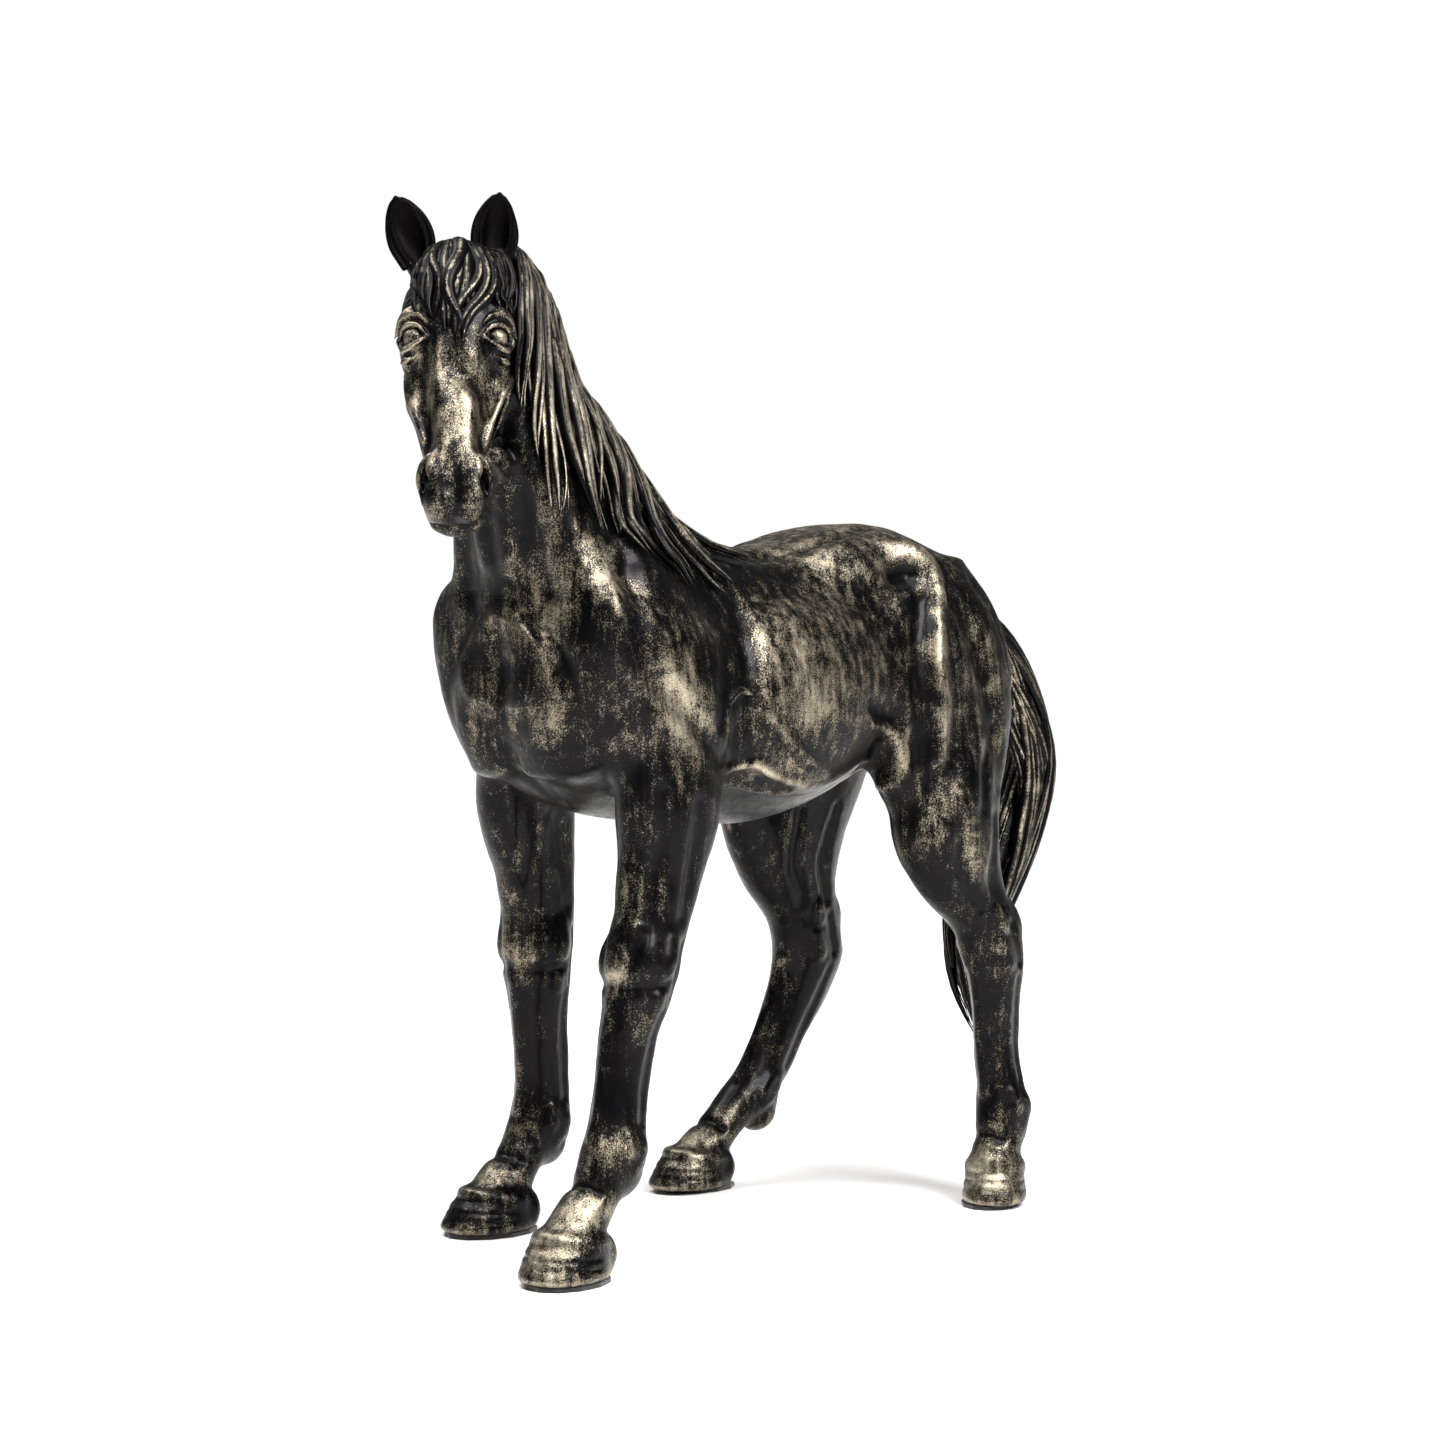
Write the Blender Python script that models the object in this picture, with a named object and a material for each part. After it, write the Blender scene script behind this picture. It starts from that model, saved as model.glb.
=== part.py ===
"""A standing horse statuette in cast bronze, made as foundry sections that are doweled together.

Row frame: metres, +Z up, the horse faces -Y and its left side is +X. The origin is at floor level.
Sizes below are in millimetres and pass through MM once, where each mesh is made.
"""

import math

import bmesh
import bpy
from mathutils import Matrix, Vector

MM = 0.001

# Driving dimensions, in millimetres
WALL = 4.0              # casting wall of the hollow sections
GAP = 0.3               # clearance left at every seam between two castings
CENTRE = Vector((1.5, 23.7, 0.0))   # middle of the bounding box, moved onto the origin
PAD_THICK = 1.2         # felt pad under each hoof
DOWEL_R = 2.6           # bronze dowel pins
DOWEL_REACH = 9.0       # how far a dowel enters each casting
COLLAR_WALL = 2.2       # sleeves inside the neck seams
COLLAR_REACH = 7.0      # how far a sleeve reaches past its seam, each way
PLUG_R = 3.2            # core plugs that close the holes left by the core pins
PLUG_LONG = 9.0
FORELEG_CUT_Z = 121.0   # saw cuts that part the legs from the barrel
HINDLEG_CUT_Z = 124.0
NECK_CUT = (Vector((0, -45, 196)), Vector((0, -0.46, 0.89)))
HEAD_CUT = (Vector((0, -60, 237)), Vector((0, -0.60, 0.80)))
FAR = 400.0             # larger than the horse: the size of the cutting blocks

TRUNK_SIDES = 20
LIMB_SIDES = 14
SMALL_SIDES = 12

BRONZE = ("cast_bronze", (0.105, 0.088, 0.062, 1.0), 0.38, 1.0)
BRASS = ("dowel_brass", (0.55, 0.42, 0.20, 1.0), 0.35, 1.0)
FELT = ("felt_pad", (0.03, 0.03, 0.032, 1.0), 0.95, 0.0)

# Trunk, chest to buttock: (y, top z, bottom z, half width)
TRUNK = (
    (-79, 184, 160, 18), (-74, 195, 147, 33), (-60, 203, 134, 39), (-40, 207, 126, 40),
    (-12, 207, 123, 39), (18, 206, 122, 41), (45, 210, 128, 40), (74, 213, 141, 38),
    (98, 209, 152, 34), (115, 200, 158, 26), (127, 187, 164, 13),
)
# Neck, base to poll: (y, z, half width, half depth)
NECK = (
    (-36, 166, 33, 42), (-44, 188, 30, 36), (-52, 207, 24, 30), (-61, 225, 19.5, 24.5),
    (-70, 243, 16, 19.5), (-79, 260, 14, 17.5), (-87, 274, 12.5, 15), (-93, 283, 9, 10.5),
)
# Head in its own frame: (distance from the poll, brow line, jaw line, half width)
POLL = Vector((-1.4, -94.6, 290))
HEAD_TURN = math.radians(46)   # towards the horse's left
HEAD_DROP = math.radians(28)    # nose ahead of plumb
HEAD = (
    (-3, -4, -18, 7), (2, 0, -24, 11), (12, 4.5, -31, 15), (25, 5, -36, 16.5),
    (38, 3, -35, 15), (51, 0.5, -28, 11.5), (62, -1.5, -22.5, 9.2), (72, -2.5, -21, 9.4),
    (79, -5, -20, 8.2), (83, -9, -17, 5.5),
)
# Ears in the head's frame: (rise above the poll, half width, half depth)
EAR = ((-2, 3.4, 3.0), (4, 5.0, 3.6), (10, 5.3, 3.4), (16, 3.6, 2.5), (20, 0.9, 0.8))
EAR_SPREAD = 9.5
EAR_SPLAY = math.radians(16)

# Legs, top to hoof: (x, y, z, half width, half depth); the x is for the left side
FORELEG_LEFT = (
    (24, -47, 196, 5, 10), (27, -47, 180, 14, 22), (31, -45, 160, 14, 21),
    (32, -43, 143, 12, 19), (33, -45, 126, 11, 16), (33, -50, 108, 10, 13.5),
    (33, -54, 96, 9.8, 11.5), (33, -57, 86, 12, 11.5), (33, -59, 76, 10, 10.5),
    (33, -61, 66, 7.6, 9.6), (33, -64, 52, 7.2, 9.4), (33.5, -67, 43, 7.8, 10),
    (34, -69, 35, 9, 11.4), (34, -74, 27, 8.3, 9.6), (34, -79, 20, 9.6, 10.5),
)
FORELEG_RIGHT = (
    (-24, -47, 196, 5, 10), (-27, -47, 180, 14, 22), (-32, -43, 160, 14, 21),
    (-33, -37, 143, 12, 19), (-35, -34, 126, 11, 16), (-36, -32, 108, 10, 13.5),
    (-36, -31, 95, 9.8, 11.5), (-36, -31, 84, 12, 11.5), (-36, -30, 74, 10, 10.5),
    (-36, -29, 64, 7.6, 9.6), (-36, -29, 50, 7.2, 9.4), (-36, -29, 40, 7.8, 10),
    (-36, -31, 31, 9, 11.4), (-36, -37, 24, 8.3, 10), (-36, -42, 18, 9.6, 11),
)
HINDLEG_LEFT = (
    (22, 82, 203, 7, 18), (26, 80, 186, 14, 31), (29, 80, 165, 15, 36),
    (32, 78, 146, 15, 32), (35, 77, 128, 14, 25), (38, 81, 112, 12, 18.5),
    (40, 88, 98, 10, 13.5), (42, 96, 86, 9.4, 13), (43, 97, 75, 8.6, 11),
    (43, 96, 63, 6.8, 8.6), (43, 95, 48, 6.2, 8), (44, 95, 38, 7, 8.8),
    (44, 94, 31, 8.2, 10), (45, 91, 24, 7.4, 8.4), (45, 89, 18, 8.6, 9.6),
)
HINDLEG_RIGHT = (
    (-22, 82, 203, 7, 18), (-26, 80, 186, 14, 31), (-29, 80, 165, 15, 36),
    (-31, 77, 146, 15, 32), (-33, 76, 128, 14, 25), (-34, 81, 112, 12, 18.5),
    (-35, 90, 97, 10, 13.5), (-36, 98, 84, 9.4, 13), (-37, 96, 72, 8.6, 11.5),
    (-38, 90, 60, 6.8, 9.4), (-39, 81, 46, 6.2, 9.4), (-40, 75, 36, 7, 10),
    (-41, 69, 29, 8.2, 10.5), (-42, 61, 22, 7.4, 9.6), (-42, 54, 16, 8.8, 10.5),
)
# Hooves: (x, y, coronet z, half width, half length, degrees turned out)
HOOVES = {
    "foreleg_left": (34, -86, 17, 12, 16, 12),
    "foreleg_right": (-36, -50, 15.5, 12, 16.5, 6),
    "hindleg_left": (45, 88, 16, 10, 12.5, 34),
    "hindleg_right": (-42, 47, 14, 10.6, 14.5, 4),
}
# Hoof rings from the coronet down: (share of the hoof's size, shift to the heel)
HOOF_SHAPE = ((0.93, 3.6), (0.86, 3.2), (0.96, 1.0), (1.0, 0.0))
CORONET_ROLL = 3.5      # the roll of the coronet stands this far above the waist of the hoof
TOE_Z = 6.0             # height where the hoof is nearly full size
PAD_INSET = 1.2         # the felt stays this far inside the hoof
# Tail: (y, z, half width, half depth)
TAIL = (
    (124, 189, 6, 6.5), (140, 185, 8, 8), (151, 172, 11.5, 10.5), (157, 152, 14, 12.5),
    (156, 130, 14.5, 13), (148, 107, 13.5, 11.5), (138, 87, 11.5, 10),
    (135, 68, 8.5, 8), (139, 52, 5, 5), (142, 42, 1.6, 1.8),
)
# Mane that lies on the left of the crest: (x, y, z, half thickness, half fall)
MANE = (
    (4, -87, 279, 4.5, 8), (8, -75, 264, 7, 15), (11, -62, 246, 8.5, 20),
    (14, -49, 229, 9, 23), (16, -36, 215, 9.5, 21), (15, -23, 206, 8.5, 14), (11, -12, 203, 4, 6),
)
# Forelock in the head's frame: (distance from the poll, height over it, half width, half depth)
FORELOCK = ((-3, -2, 4, 2.4), (4, 3, 5, 3.0), (14, 6.5, 9.5, 2.8), (26, 7.5, 6.5, 2.4), (36, 6.5, 2, 1.6))
CORE_PLUGS = {
    "core_plug_belly": (Vector((0, -10, 122)), Vector((0, 0, -1))),
    "core_plug_groin": (Vector((0, 52, 130)), Vector((0, 0, -1))),
    "core_plug_back": (Vector((0, 40, 209)), Vector((0, 0, 1))),
    "core_plug_croup": (Vector((0, 92, 211)), Vector((0, 0, 1))),
}


def clear_scene():
    for obj in list(bpy.data.objects):
        bpy.data.objects.remove(obj)


def make_material(spec):
    name, colour, roughness, metallic = spec
    material = bpy.data.materials.new(name)
    material.use_nodes = True
    surface = material.node_tree.nodes["Principled BSDF"]
    surface.inputs["Base Color"].default_value = colour
    surface.inputs["Roughness"].default_value = roughness
    surface.inputs["Metallic"].default_value = metallic
    return material


def object_of(name, bm, helper=False):
    """Turns a bmesh in millimetres into an object in metres."""
    bmesh.ops.recalc_face_normals(bm, faces=bm.faces)
    place = Matrix.Scale(MM, 4) @ Matrix.Translation(-CENTRE)
    bmesh.ops.transform(bm, matrix=place, verts=bm.verts)
    mesh = bpy.data.meshes.new(name)
    bm.to_mesh(mesh)
    bm.free()
    obj = bpy.data.objects.new(name, mesh)
    bpy.context.scene.collection.objects.link(obj)
    if helper:
        obj.hide_render = True
        obj.display_type = "WIRE"
    return obj


def ring(centre, across, along, sides):
    """Points of an ellipse round centre with those two half axes."""
    turns = (2 * math.pi * k / sides for k in range(sides))
    return [centre + across * math.cos(t) + along * math.sin(t) for t in turns]


def loft(name, rings, helper=True):
    """A closed skin over a stack of rings with the same number of points."""
    bm = bmesh.new()
    loops = [[bm.verts.new(p) for p in points] for points in rings]
    count = len(loops[0])
    for low, high in zip(loops, loops[1:]):
        for k in range(count):
            n = (k + 1) % count
            bm.faces.new((low[k], low[n], high[n], high[k]))
    bm.faces.new(loops[0][::-1])
    bm.faces.new(loops[-1])
    bmesh.ops.triangulate(bm, faces=[f for f in bm.faces if len(f.verts) > 4])
    return object_of(name, bm, helper)


def trunk_rings(grow=0.0, rows=TRUNK):
    stations = list(rows)
    return [
        ring(
            Vector((0, y + (grow if i == len(stations) - 1 else -grow if i == 0 else 0), (top + low) / 2)),
            Vector((half + grow, 0, 0)),
            Vector((0, 0, (top - low) / 2 + grow)),
            TRUNK_SIDES,
        )
        for i, (y, top, low, half) in enumerate(stations)
    ]


def path_rings(rows, grow, sides):
    """Rings square to a path in the horse's middle plane; rows are (y, z, half width, half depth)."""
    points = [Vector((0, y, z)) for y, z, _, _ in rows]
    made = []
    last = len(rows) - 1
    for i, (_, _, half_width, half_depth) in enumerate(rows):
        before, after = points[max(i - 1, 0)], points[min(i + 1, last)]
        tangent = (after - before).normalized()
        depth = Vector((1, 0, 0)).cross(tangent)
        shift = tangent * (-grow if i == 0 else grow if i == last else 0)
        made.append(
            ring(points[i] + shift, Vector((half_width + grow, 0, 0)), depth * (half_depth + grow), sides)
        )
    return made


def head_frame():
    """Matrix from the head's frame (left, brow, nose) to the horse's."""
    turn, drop = HEAD_TURN, HEAD_DROP
    ahead = Vector((math.sin(turn), -math.cos(turn), 0))
    up = Vector((0, 0, 1))
    nose = ahead * math.sin(drop) - up * math.cos(drop)
    brow = ahead * math.cos(drop) + up * math.sin(drop)
    left = Vector((math.cos(turn), math.sin(turn), 0))
    matrix = Matrix((left, brow, nose)).transposed().to_4x4()
    matrix.translation = POLL
    return matrix


def head_rings(grow=0.0, rows=HEAD):
    frame = head_frame()
    last = len(rows) - 1
    made = []
    for i, (reach, brow, jaw, half) in enumerate(rows):
        end = -grow if i == 0 else grow if i == last else 0
        points = ring(
            Vector((0, (brow + jaw) / 2, reach + end)),
            Vector((half + grow, 0, 0)),
            Vector((0, (brow - jaw) / 2 + grow, 0)),
            LIMB_SIDES + 2,
        )
        made.append([frame @ p for p in points])
    return made


def leg_rings(rows, hoof, grow=0.0):
    """Level rings down a leg, then the flared hoof down to its pad."""
    made = [
        ring(Vector((x, y, z)), Vector((a + grow, 0, 0)), Vector((0, b + grow, 0)), LIMB_SIDES)
        for x, y, z, a, b in rows
    ]
    x, y, coronet, half_width, half_length, out = hoof
    side = math.copysign(1, x)
    heading = Matrix.Rotation(math.radians(out) * side, 3, "Z")
    across = heading @ Vector((half_width, 0, 0))
    along = heading @ Vector((0, half_length, 0))
    back = heading @ Vector((0, 1, 0))
    centre = Vector((x, y, 0))
    levels = (coronet, coronet - CORONET_ROLL, TOE_Z, PAD_THICK + GAP)
    for z, (scale, shift) in zip(levels, HOOF_SHAPE):
        middle = centre + back * shift + Vector((0, 0, z))
        made.append(ring(middle, across * scale, along * scale, LIMB_SIDES))
    return made


def block(name, low, high, frame=Matrix.Identity(4)):
    """A helper box between two corners, placed by a matrix."""
    bm = bmesh.new()
    bmesh.ops.create_cube(bm, size=1)
    size = [h - l for l, h in zip(low, high)]
    middle = Vector([(l + h) / 2 for l, h in zip(low, high)])
    place = frame @ Matrix.Translation(middle) @ Matrix.Diagonal((*size, 1))
    bmesh.ops.transform(bm, matrix=place, verts=bm.verts)
    return object_of(name, bm, helper=True)


def half_space(name, cut, back_off):
    """A block that fills everything on the far side of a cut, from back_off behind it."""
    point, normal = cut
    frame = normal.to_track_quat("Z", "Y").to_matrix().to_4x4()
    frame.translation = point + normal.normalized() * back_off
    return block(name, (-FAR / 2, -FAR / 2, 0), (FAR / 2, FAR / 2, FAR), frame)


def rod(name, start, end, radius, helper=False, sides=SMALL_SIDES):
    """A round bar between two points."""
    axis = (end - start).normalized()
    across = axis.orthogonal().normalized() * radius
    along = axis.cross(across.normalized()) * radius
    return loft(name, [ring(start, across, along, sides), ring(end, across, along, sides)], helper)


def combine(target, other, operation):
    """Applies one exact Boolean and keeps its result as the target's mesh."""
    modifier = target.modifiers.new("combine", "BOOLEAN")
    modifier.operation = operation
    modifier.object = other
    modifier.solver = "EXACT"
    graph = bpy.context.evaluated_depsgraph_get()
    mesh = bpy.data.meshes.new_from_object(target.evaluated_get(graph))
    target.modifiers.clear()
    target.data = mesh
    return target


def duplicate(source, name):
    copy = source.copy()
    copy.data = source.data.copy()
    copy.name = name
    bpy.context.scene.collection.objects.link(copy)
    return copy


def finish(obj, material):
    """Cleans the Boolean leftovers, shades it and makes it a visible part."""
    bm = bmesh.new()
    bm.from_mesh(obj.data)
    bmesh.ops.remove_doubles(bm, verts=bm.verts, dist=0.02 * MM)
    bmesh.ops.dissolve_degenerate(bm, edges=bm.edges, dist=0.01 * MM)
    bmesh.ops.triangulate(bm, faces=bm.faces)
    bm.to_mesh(obj.data)
    bm.free()
    obj.data.materials.clear()
    obj.data.materials.append(material)
    obj.data.shade_smooth()
    obj.data.set_sharp_from_angle(angle=math.radians(40))
    obj.hide_render = False
    obj.display_type = "TEXTURED"


LEGS = {
    "foreleg_left": (FORELEG_LEFT, FORELEG_CUT_Z),
    "foreleg_right": (FORELEG_RIGHT, FORELEG_CUT_Z),
    "hindleg_left": (HINDLEG_LEFT, HINDLEG_CUT_Z),
    "hindleg_right": (HINDLEG_RIGHT, HINDLEG_CUT_Z),
}


def whole_horse():
    """Trunk, neck, head and legs joined: the pattern before it is sawn into castings."""
    whole = loft("pattern", trunk_rings())
    combine(whole, loft("neck_form", path_rings(NECK, 0, TRUNK_SIDES)), "UNION")
    combine(whole, loft("head_form", head_rings()), "UNION")
    for name, (rows, _) in LEGS.items():
        combine(whole, loft(name + "_form", leg_rings(rows, HOOVES[name])), "UNION")
    return whole


def leg_cell(name, cut_z, above):
    """The block under a leg's saw cut; above lifts its top face."""
    left = name.endswith("left")
    fore = name.startswith("fore")
    x = (4, 90) if left else (-90, -4)
    y = (-130, -5) if fore else (32, 113.5)
    return block(name + "_cell", (x[0], y[0], -5), (x[1], y[1], cut_z + above))


def seam_point(rows, z):
    """Centre of a leg where a level cut meets it."""
    for upper, lower in zip(rows, rows[1:]):
        if upper[2] >= z >= lower[2]:
            share = (upper[2] - z) / (upper[2] - lower[2])
            return Vector(upper[:3]).lerp(Vector(lower[:3]), share)
    raise ValueError("the cut misses the leg")


def shrunk(rows, first, last):
    """The rows between two stations, which hold the casting core."""
    return rows[first:last]


def main():
    clear_scene()
    bronze, brass, felt = (make_material(s) for s in (BRONZE, BRASS, FELT))
    whole = whole_horse()

    # Sections, sawn apart with a clearance at each cut
    head = duplicate(whole, "head")
    combine(head, half_space("above_head_cut", HEAD_CUT, GAP / 2), "INTERSECT")
    neck = duplicate(whole, "neck")
    combine(neck, half_space("above_head_cut_wide", HEAD_CUT, -GAP / 2), "DIFFERENCE")
    combine(neck, half_space("above_neck_cut", NECK_CUT, GAP / 2), "INTERSECT")
    barrel = duplicate(whole, "barrel")
    combine(barrel, half_space("above_neck_cut_wide", NECK_CUT, -GAP / 2), "DIFFERENCE")
    legs = {}
    for name, (rows, cut_z) in LEGS.items():
        legs[name] = duplicate(whole, name)
        combine(legs[name], leg_cell(name, cut_z, -GAP / 2), "INTERSECT")
        combine(barrel, leg_cell(name, cut_z, GAP / 2), "DIFFERENCE")

    # Hollow the barrel, the neck and the head with one core, open at the seams
    trunk_core = loft("trunk_core", trunk_rings(-WALL, shrunk(TRUNK, 1, len(TRUNK) - 1)))
    neck_core = loft("neck_core", path_rings(NECK[:-2], -WALL, TRUNK_SIDES))
    for section in (barrel, neck, head):
        combine(section, neck_core, "DIFFERENCE")
    combine(barrel, trunk_core, "DIFFERENCE")

    # Sleeves inside the two neck seams
    sleeves = {}
    for name, cut in (("neck_sleeve", NECK_CUT), ("head_sleeve", HEAD_CUT)):
        sleeve = loft(name, path_rings(NECK[:-2], -WALL - GAP, TRUNK_SIDES))
        bore = loft(name + "_bore", path_rings(NECK[:-2], -WALL - GAP - COLLAR_WALL, TRUNK_SIDES))
        combine(sleeve, bore, "DIFFERENCE")
        combine(sleeve, half_space(name + "_low", cut, -COLLAR_REACH), "INTERSECT")
        combine(sleeve, half_space(name + "_high", cut, COLLAR_REACH), "DIFFERENCE")
        sleeves[name] = sleeve

    # Dowels between each leg and the barrel
    dowels = {}
    for name, (rows, cut_z) in LEGS.items():
        middle = seam_point(rows, cut_z)
        reach = Vector((0, 0, DOWEL_REACH))
        ends = reach + Vector((0, 0, GAP))
        hole = rod(name + "_dowel_hole", middle - ends, middle + ends, DOWEL_R + GAP, True)
        combine(legs[name], hole, "DIFFERENCE")
        combine(barrel, hole, "DIFFERENCE")
        dowels[name + "_dowel"] = rod(name + "_dowel", middle - reach, middle + reach, DOWEL_R)

    # Tail, set into a pocket in the barrel and pinned
    tail = loft("tail", path_rings(TAIL, 0, LIMB_SIDES))
    combine(barrel, loft("tail_pocket", path_rings(TAIL, GAP, LIMB_SIDES)), "DIFFERENCE")

    # Ears, mane and forelock
    frame = head_frame()
    ears = {}
    for name, side in (("ear_left", 1), ("ear_right", -1)):
        tilt = Matrix.Rotation(EAR_SPLAY * side, 4, "Y")
        seat = POLL + frame.to_3x3() @ Vector((EAR_SPREAD * side, -4, 6))
        turned = Matrix.Translation(seat) @ Matrix.Rotation(HEAD_TURN, 4, "Z") @ tilt
        for grow, label in ((0.0, name), (GAP, name + "_pocket")):
            rings = []
            for i, (rise, a, b) in enumerate(EAR):
                seat = Vector((0, 0, rise - (grow if i == 0 else 0)))
                flat = ring(seat, Vector((a + grow, 0, 0)), Vector((0, b + grow, 0)), SMALL_SIDES)
                rings.append([turned @ p for p in flat])
            made = loft(label, rings)
            if grow:
                combine(head, made, "DIFFERENCE")
            else:
                ears[name] = made

    forms = {
        "trunk": loft("trunk_clear", trunk_rings(GAP)),
        "neck": loft("neck_clear", path_rings(NECK, GAP, TRUNK_SIDES)),
        "head": loft("head_clear", head_rings(GAP)),
    }
    mane_rings = []
    for i, (x, y, z, thick, fall) in enumerate(MANE):
        down = Vector((0.3, 0.15, -0.94)).normalized()
        mane_rings.append(ring(Vector((x, y, z)), Vector((thick, 0, 0)), down * fall, SMALL_SIDES))
    mane = loft("mane", mane_rings)
    for form in forms.values():
        combine(mane, form, "DIFFERENCE")

    forelock_rings = [
        [frame @ p for p in ring(Vector((0, up, reach)), Vector((a, 0, 0)), Vector((0, b, 0)), SMALL_SIDES)]
        for reach, up, a, b in FORELOCK
    ]
    forelock = loft("forelock", forelock_rings)
    combine(forelock, forms["head"], "DIFFERENCE")

    # Core plugs: drilled through the wall, then dressed flush with the outside
    plugs = {}
    for name, (point, outward) in CORE_PLUGS.items():
        start, end = point - outward * PLUG_LONG, point + outward * PLUG_LONG
        plug = rod(name, start, end, PLUG_R)
        combine(plug, duplicate(whole, name + "_dress"), "INTERSECT")
        combine(plug, trunk_core, "DIFFERENCE")
        combine(barrel, rod(name + "_hole", start, end, PLUG_R + GAP, True), "DIFFERENCE")
        plugs[name] = plug

    # Felt pads
    pads = {}
    for name, (x, y, _, half_width, half_length, out) in HOOVES.items():
        heading = Matrix.Rotation(math.radians(out) * math.copysign(1, x), 3, "Z")
        across = heading @ Vector((half_width - PAD_INSET, 0, 0))
        along = heading @ Vector((0, half_length - PAD_INSET, 0))
        low, high = Vector((x, y, 0)), Vector((x, y, PAD_THICK))
        faces = [ring(level, across, along, SMALL_SIDES) for level in (low, high)]
        pads[name + "_pad"] = loft(name + "_pad", faces)

    castings = [head, neck, barrel, tail, mane, forelock, *legs.values(), *ears.values()]
    for obj in castings:
        finish(obj, bronze)
    for obj in [*sleeves.values(), *dowels.values(), *plugs.values()]:
        finish(obj, brass)
    for obj in pads.values():
        finish(obj, felt)
    pieces = [*castings, *sleeves.values(), *dowels.values(), *plugs.values(), *pads.values()]
    kept = {o.name for o in pieces}
    for obj in list(bpy.data.objects):
        if obj.name not in kept:
            bpy.data.objects.remove(obj)


main()
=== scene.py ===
import math

import bmesh
import bpy
import numpy as np
from mathutils import Euler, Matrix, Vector, noise


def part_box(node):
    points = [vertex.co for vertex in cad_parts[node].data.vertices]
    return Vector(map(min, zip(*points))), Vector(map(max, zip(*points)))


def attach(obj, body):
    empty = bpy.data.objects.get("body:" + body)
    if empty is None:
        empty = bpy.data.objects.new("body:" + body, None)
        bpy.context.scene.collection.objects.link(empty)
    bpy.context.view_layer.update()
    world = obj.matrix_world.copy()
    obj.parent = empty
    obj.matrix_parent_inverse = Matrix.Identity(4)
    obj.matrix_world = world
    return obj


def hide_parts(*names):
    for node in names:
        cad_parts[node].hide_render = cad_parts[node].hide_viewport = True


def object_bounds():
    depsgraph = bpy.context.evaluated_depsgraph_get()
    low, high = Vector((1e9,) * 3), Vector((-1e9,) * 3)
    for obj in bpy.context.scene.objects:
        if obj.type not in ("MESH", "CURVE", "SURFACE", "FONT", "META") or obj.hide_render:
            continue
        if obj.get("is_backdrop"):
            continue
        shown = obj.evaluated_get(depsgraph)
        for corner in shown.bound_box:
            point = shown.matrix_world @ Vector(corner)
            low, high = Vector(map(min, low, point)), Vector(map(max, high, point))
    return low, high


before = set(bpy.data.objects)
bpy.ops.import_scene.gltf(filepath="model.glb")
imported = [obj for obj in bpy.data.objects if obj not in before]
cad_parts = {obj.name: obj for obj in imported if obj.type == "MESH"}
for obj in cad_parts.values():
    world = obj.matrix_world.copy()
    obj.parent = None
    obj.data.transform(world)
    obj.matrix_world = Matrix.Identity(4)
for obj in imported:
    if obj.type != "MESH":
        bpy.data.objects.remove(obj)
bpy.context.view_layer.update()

# Sculpting is done in millimetres in the pattern's own frame: the horse faces -Y, its left is +X, the floor
# is z 0.
# The left fore pad ties the pattern to the frame.
mm = 0.001
padLow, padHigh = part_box("foreleg_left_pad")
patternShift = np.array([(padLow.x + padHigh.x) / 2 / mm - 34, (padLow.y + padHigh.y) / 2 / mm + 86, 0.0])
padTop = padHigh.z / mm
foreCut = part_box("foreleg_left")[1].z / mm + 0.15
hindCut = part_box("hindleg_left")[1].z / mm + 0.15

camera = {"azimuth": 43, "fall": 2, "place": (678.5, -714.3, 187.2), "lens": 81.2, "sensor": 36}


def makeCamera():
    data = bpy.data.cameras.new("camera")
    data.lens = camera["lens"]
    data.sensor_width = camera["sensor"]
    data.clip_start = 0.01
    obj = bpy.data.objects.new("camera", data)
    bpy.context.scene.collection.objects.link(obj)
    obj.location = Vector(np.array(camera["place"]) + patternShift) * mm
    obj.rotation_euler = Euler((math.radians(90 - camera["fall"]), 0, math.radians(camera["azimuth"])))
    bpy.context.scene.camera = obj


makeCamera()

# Clay: signed distances, worked out on a grid and joined softly


def splineRows(rows, steps=8):
    # Catmull-Rom through the rows, so that a few stations give a smooth form
    p = np.array(rows, float)
    p = np.vstack([2 * p[0] - p[1], p, 2 * p[-1] - p[-2]])
    t = np.linspace(0, 1, steps, endpoint=False)[:, None]
    made = [
        0.5 * (2 * b + (c - a) * t + (2 * a - 5 * b + 4 * c - d) * t**2 + (3 * b - a - 3 * c + d) * t**3)
        for a, b, c, d in zip(p, p[1:], p[2:], p[3:])
    ]
    return np.vstack(made + [p[-2][None]])


def localAxes(place, x, y, z):
    origin, axes = place
    x, y, z = x - origin[0], y - origin[1], z - origin[2]
    return [x * a[0] + y * a[1] + z * a[2] for a in axes]


bodyPlace = (np.zeros(3), np.eye(3))


def toWorld(place, points):
    origin, axes = place
    return np.asarray(points, float) @ np.asarray(axes) + origin


def clay(distance, corners, blend, cut=False, spare=3.0):
    corners = np.asarray(corners)
    return {"distance": distance, "low": corners.min(0) - blend - spare,
            "high": corners.max(0) + blend + spare,
            "blend": blend, "cut": cut}


def ellipsoid(centre, radii, turn=(0, 0, 0), blend=5.0, cut=False, place=bodyPlace):
    own = np.array(Euler([math.radians(a) for a in turn]).to_matrix()).T
    axes = own @ np.asarray(place[1])
    here = (toWorld(place, centre), axes)
    reach = np.sqrt(((axes * np.array(radii)[:, None]) ** 2).sum(0))

    def distance(x, y, z):
        u, v, w = localAxes(here, x, y, z)
        length = np.sqrt(u * u + v * v + w * w)
        scaled = np.sqrt((u / radii[0]) ** 2 + (v / radii[1]) ** 2 + (w / radii[2]) ** 2) + 1e-6
        return length / scaled * (scaled - 1)

    return clay(distance, [here[0] - reach, here[0] + reach], blend, cut)


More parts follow.
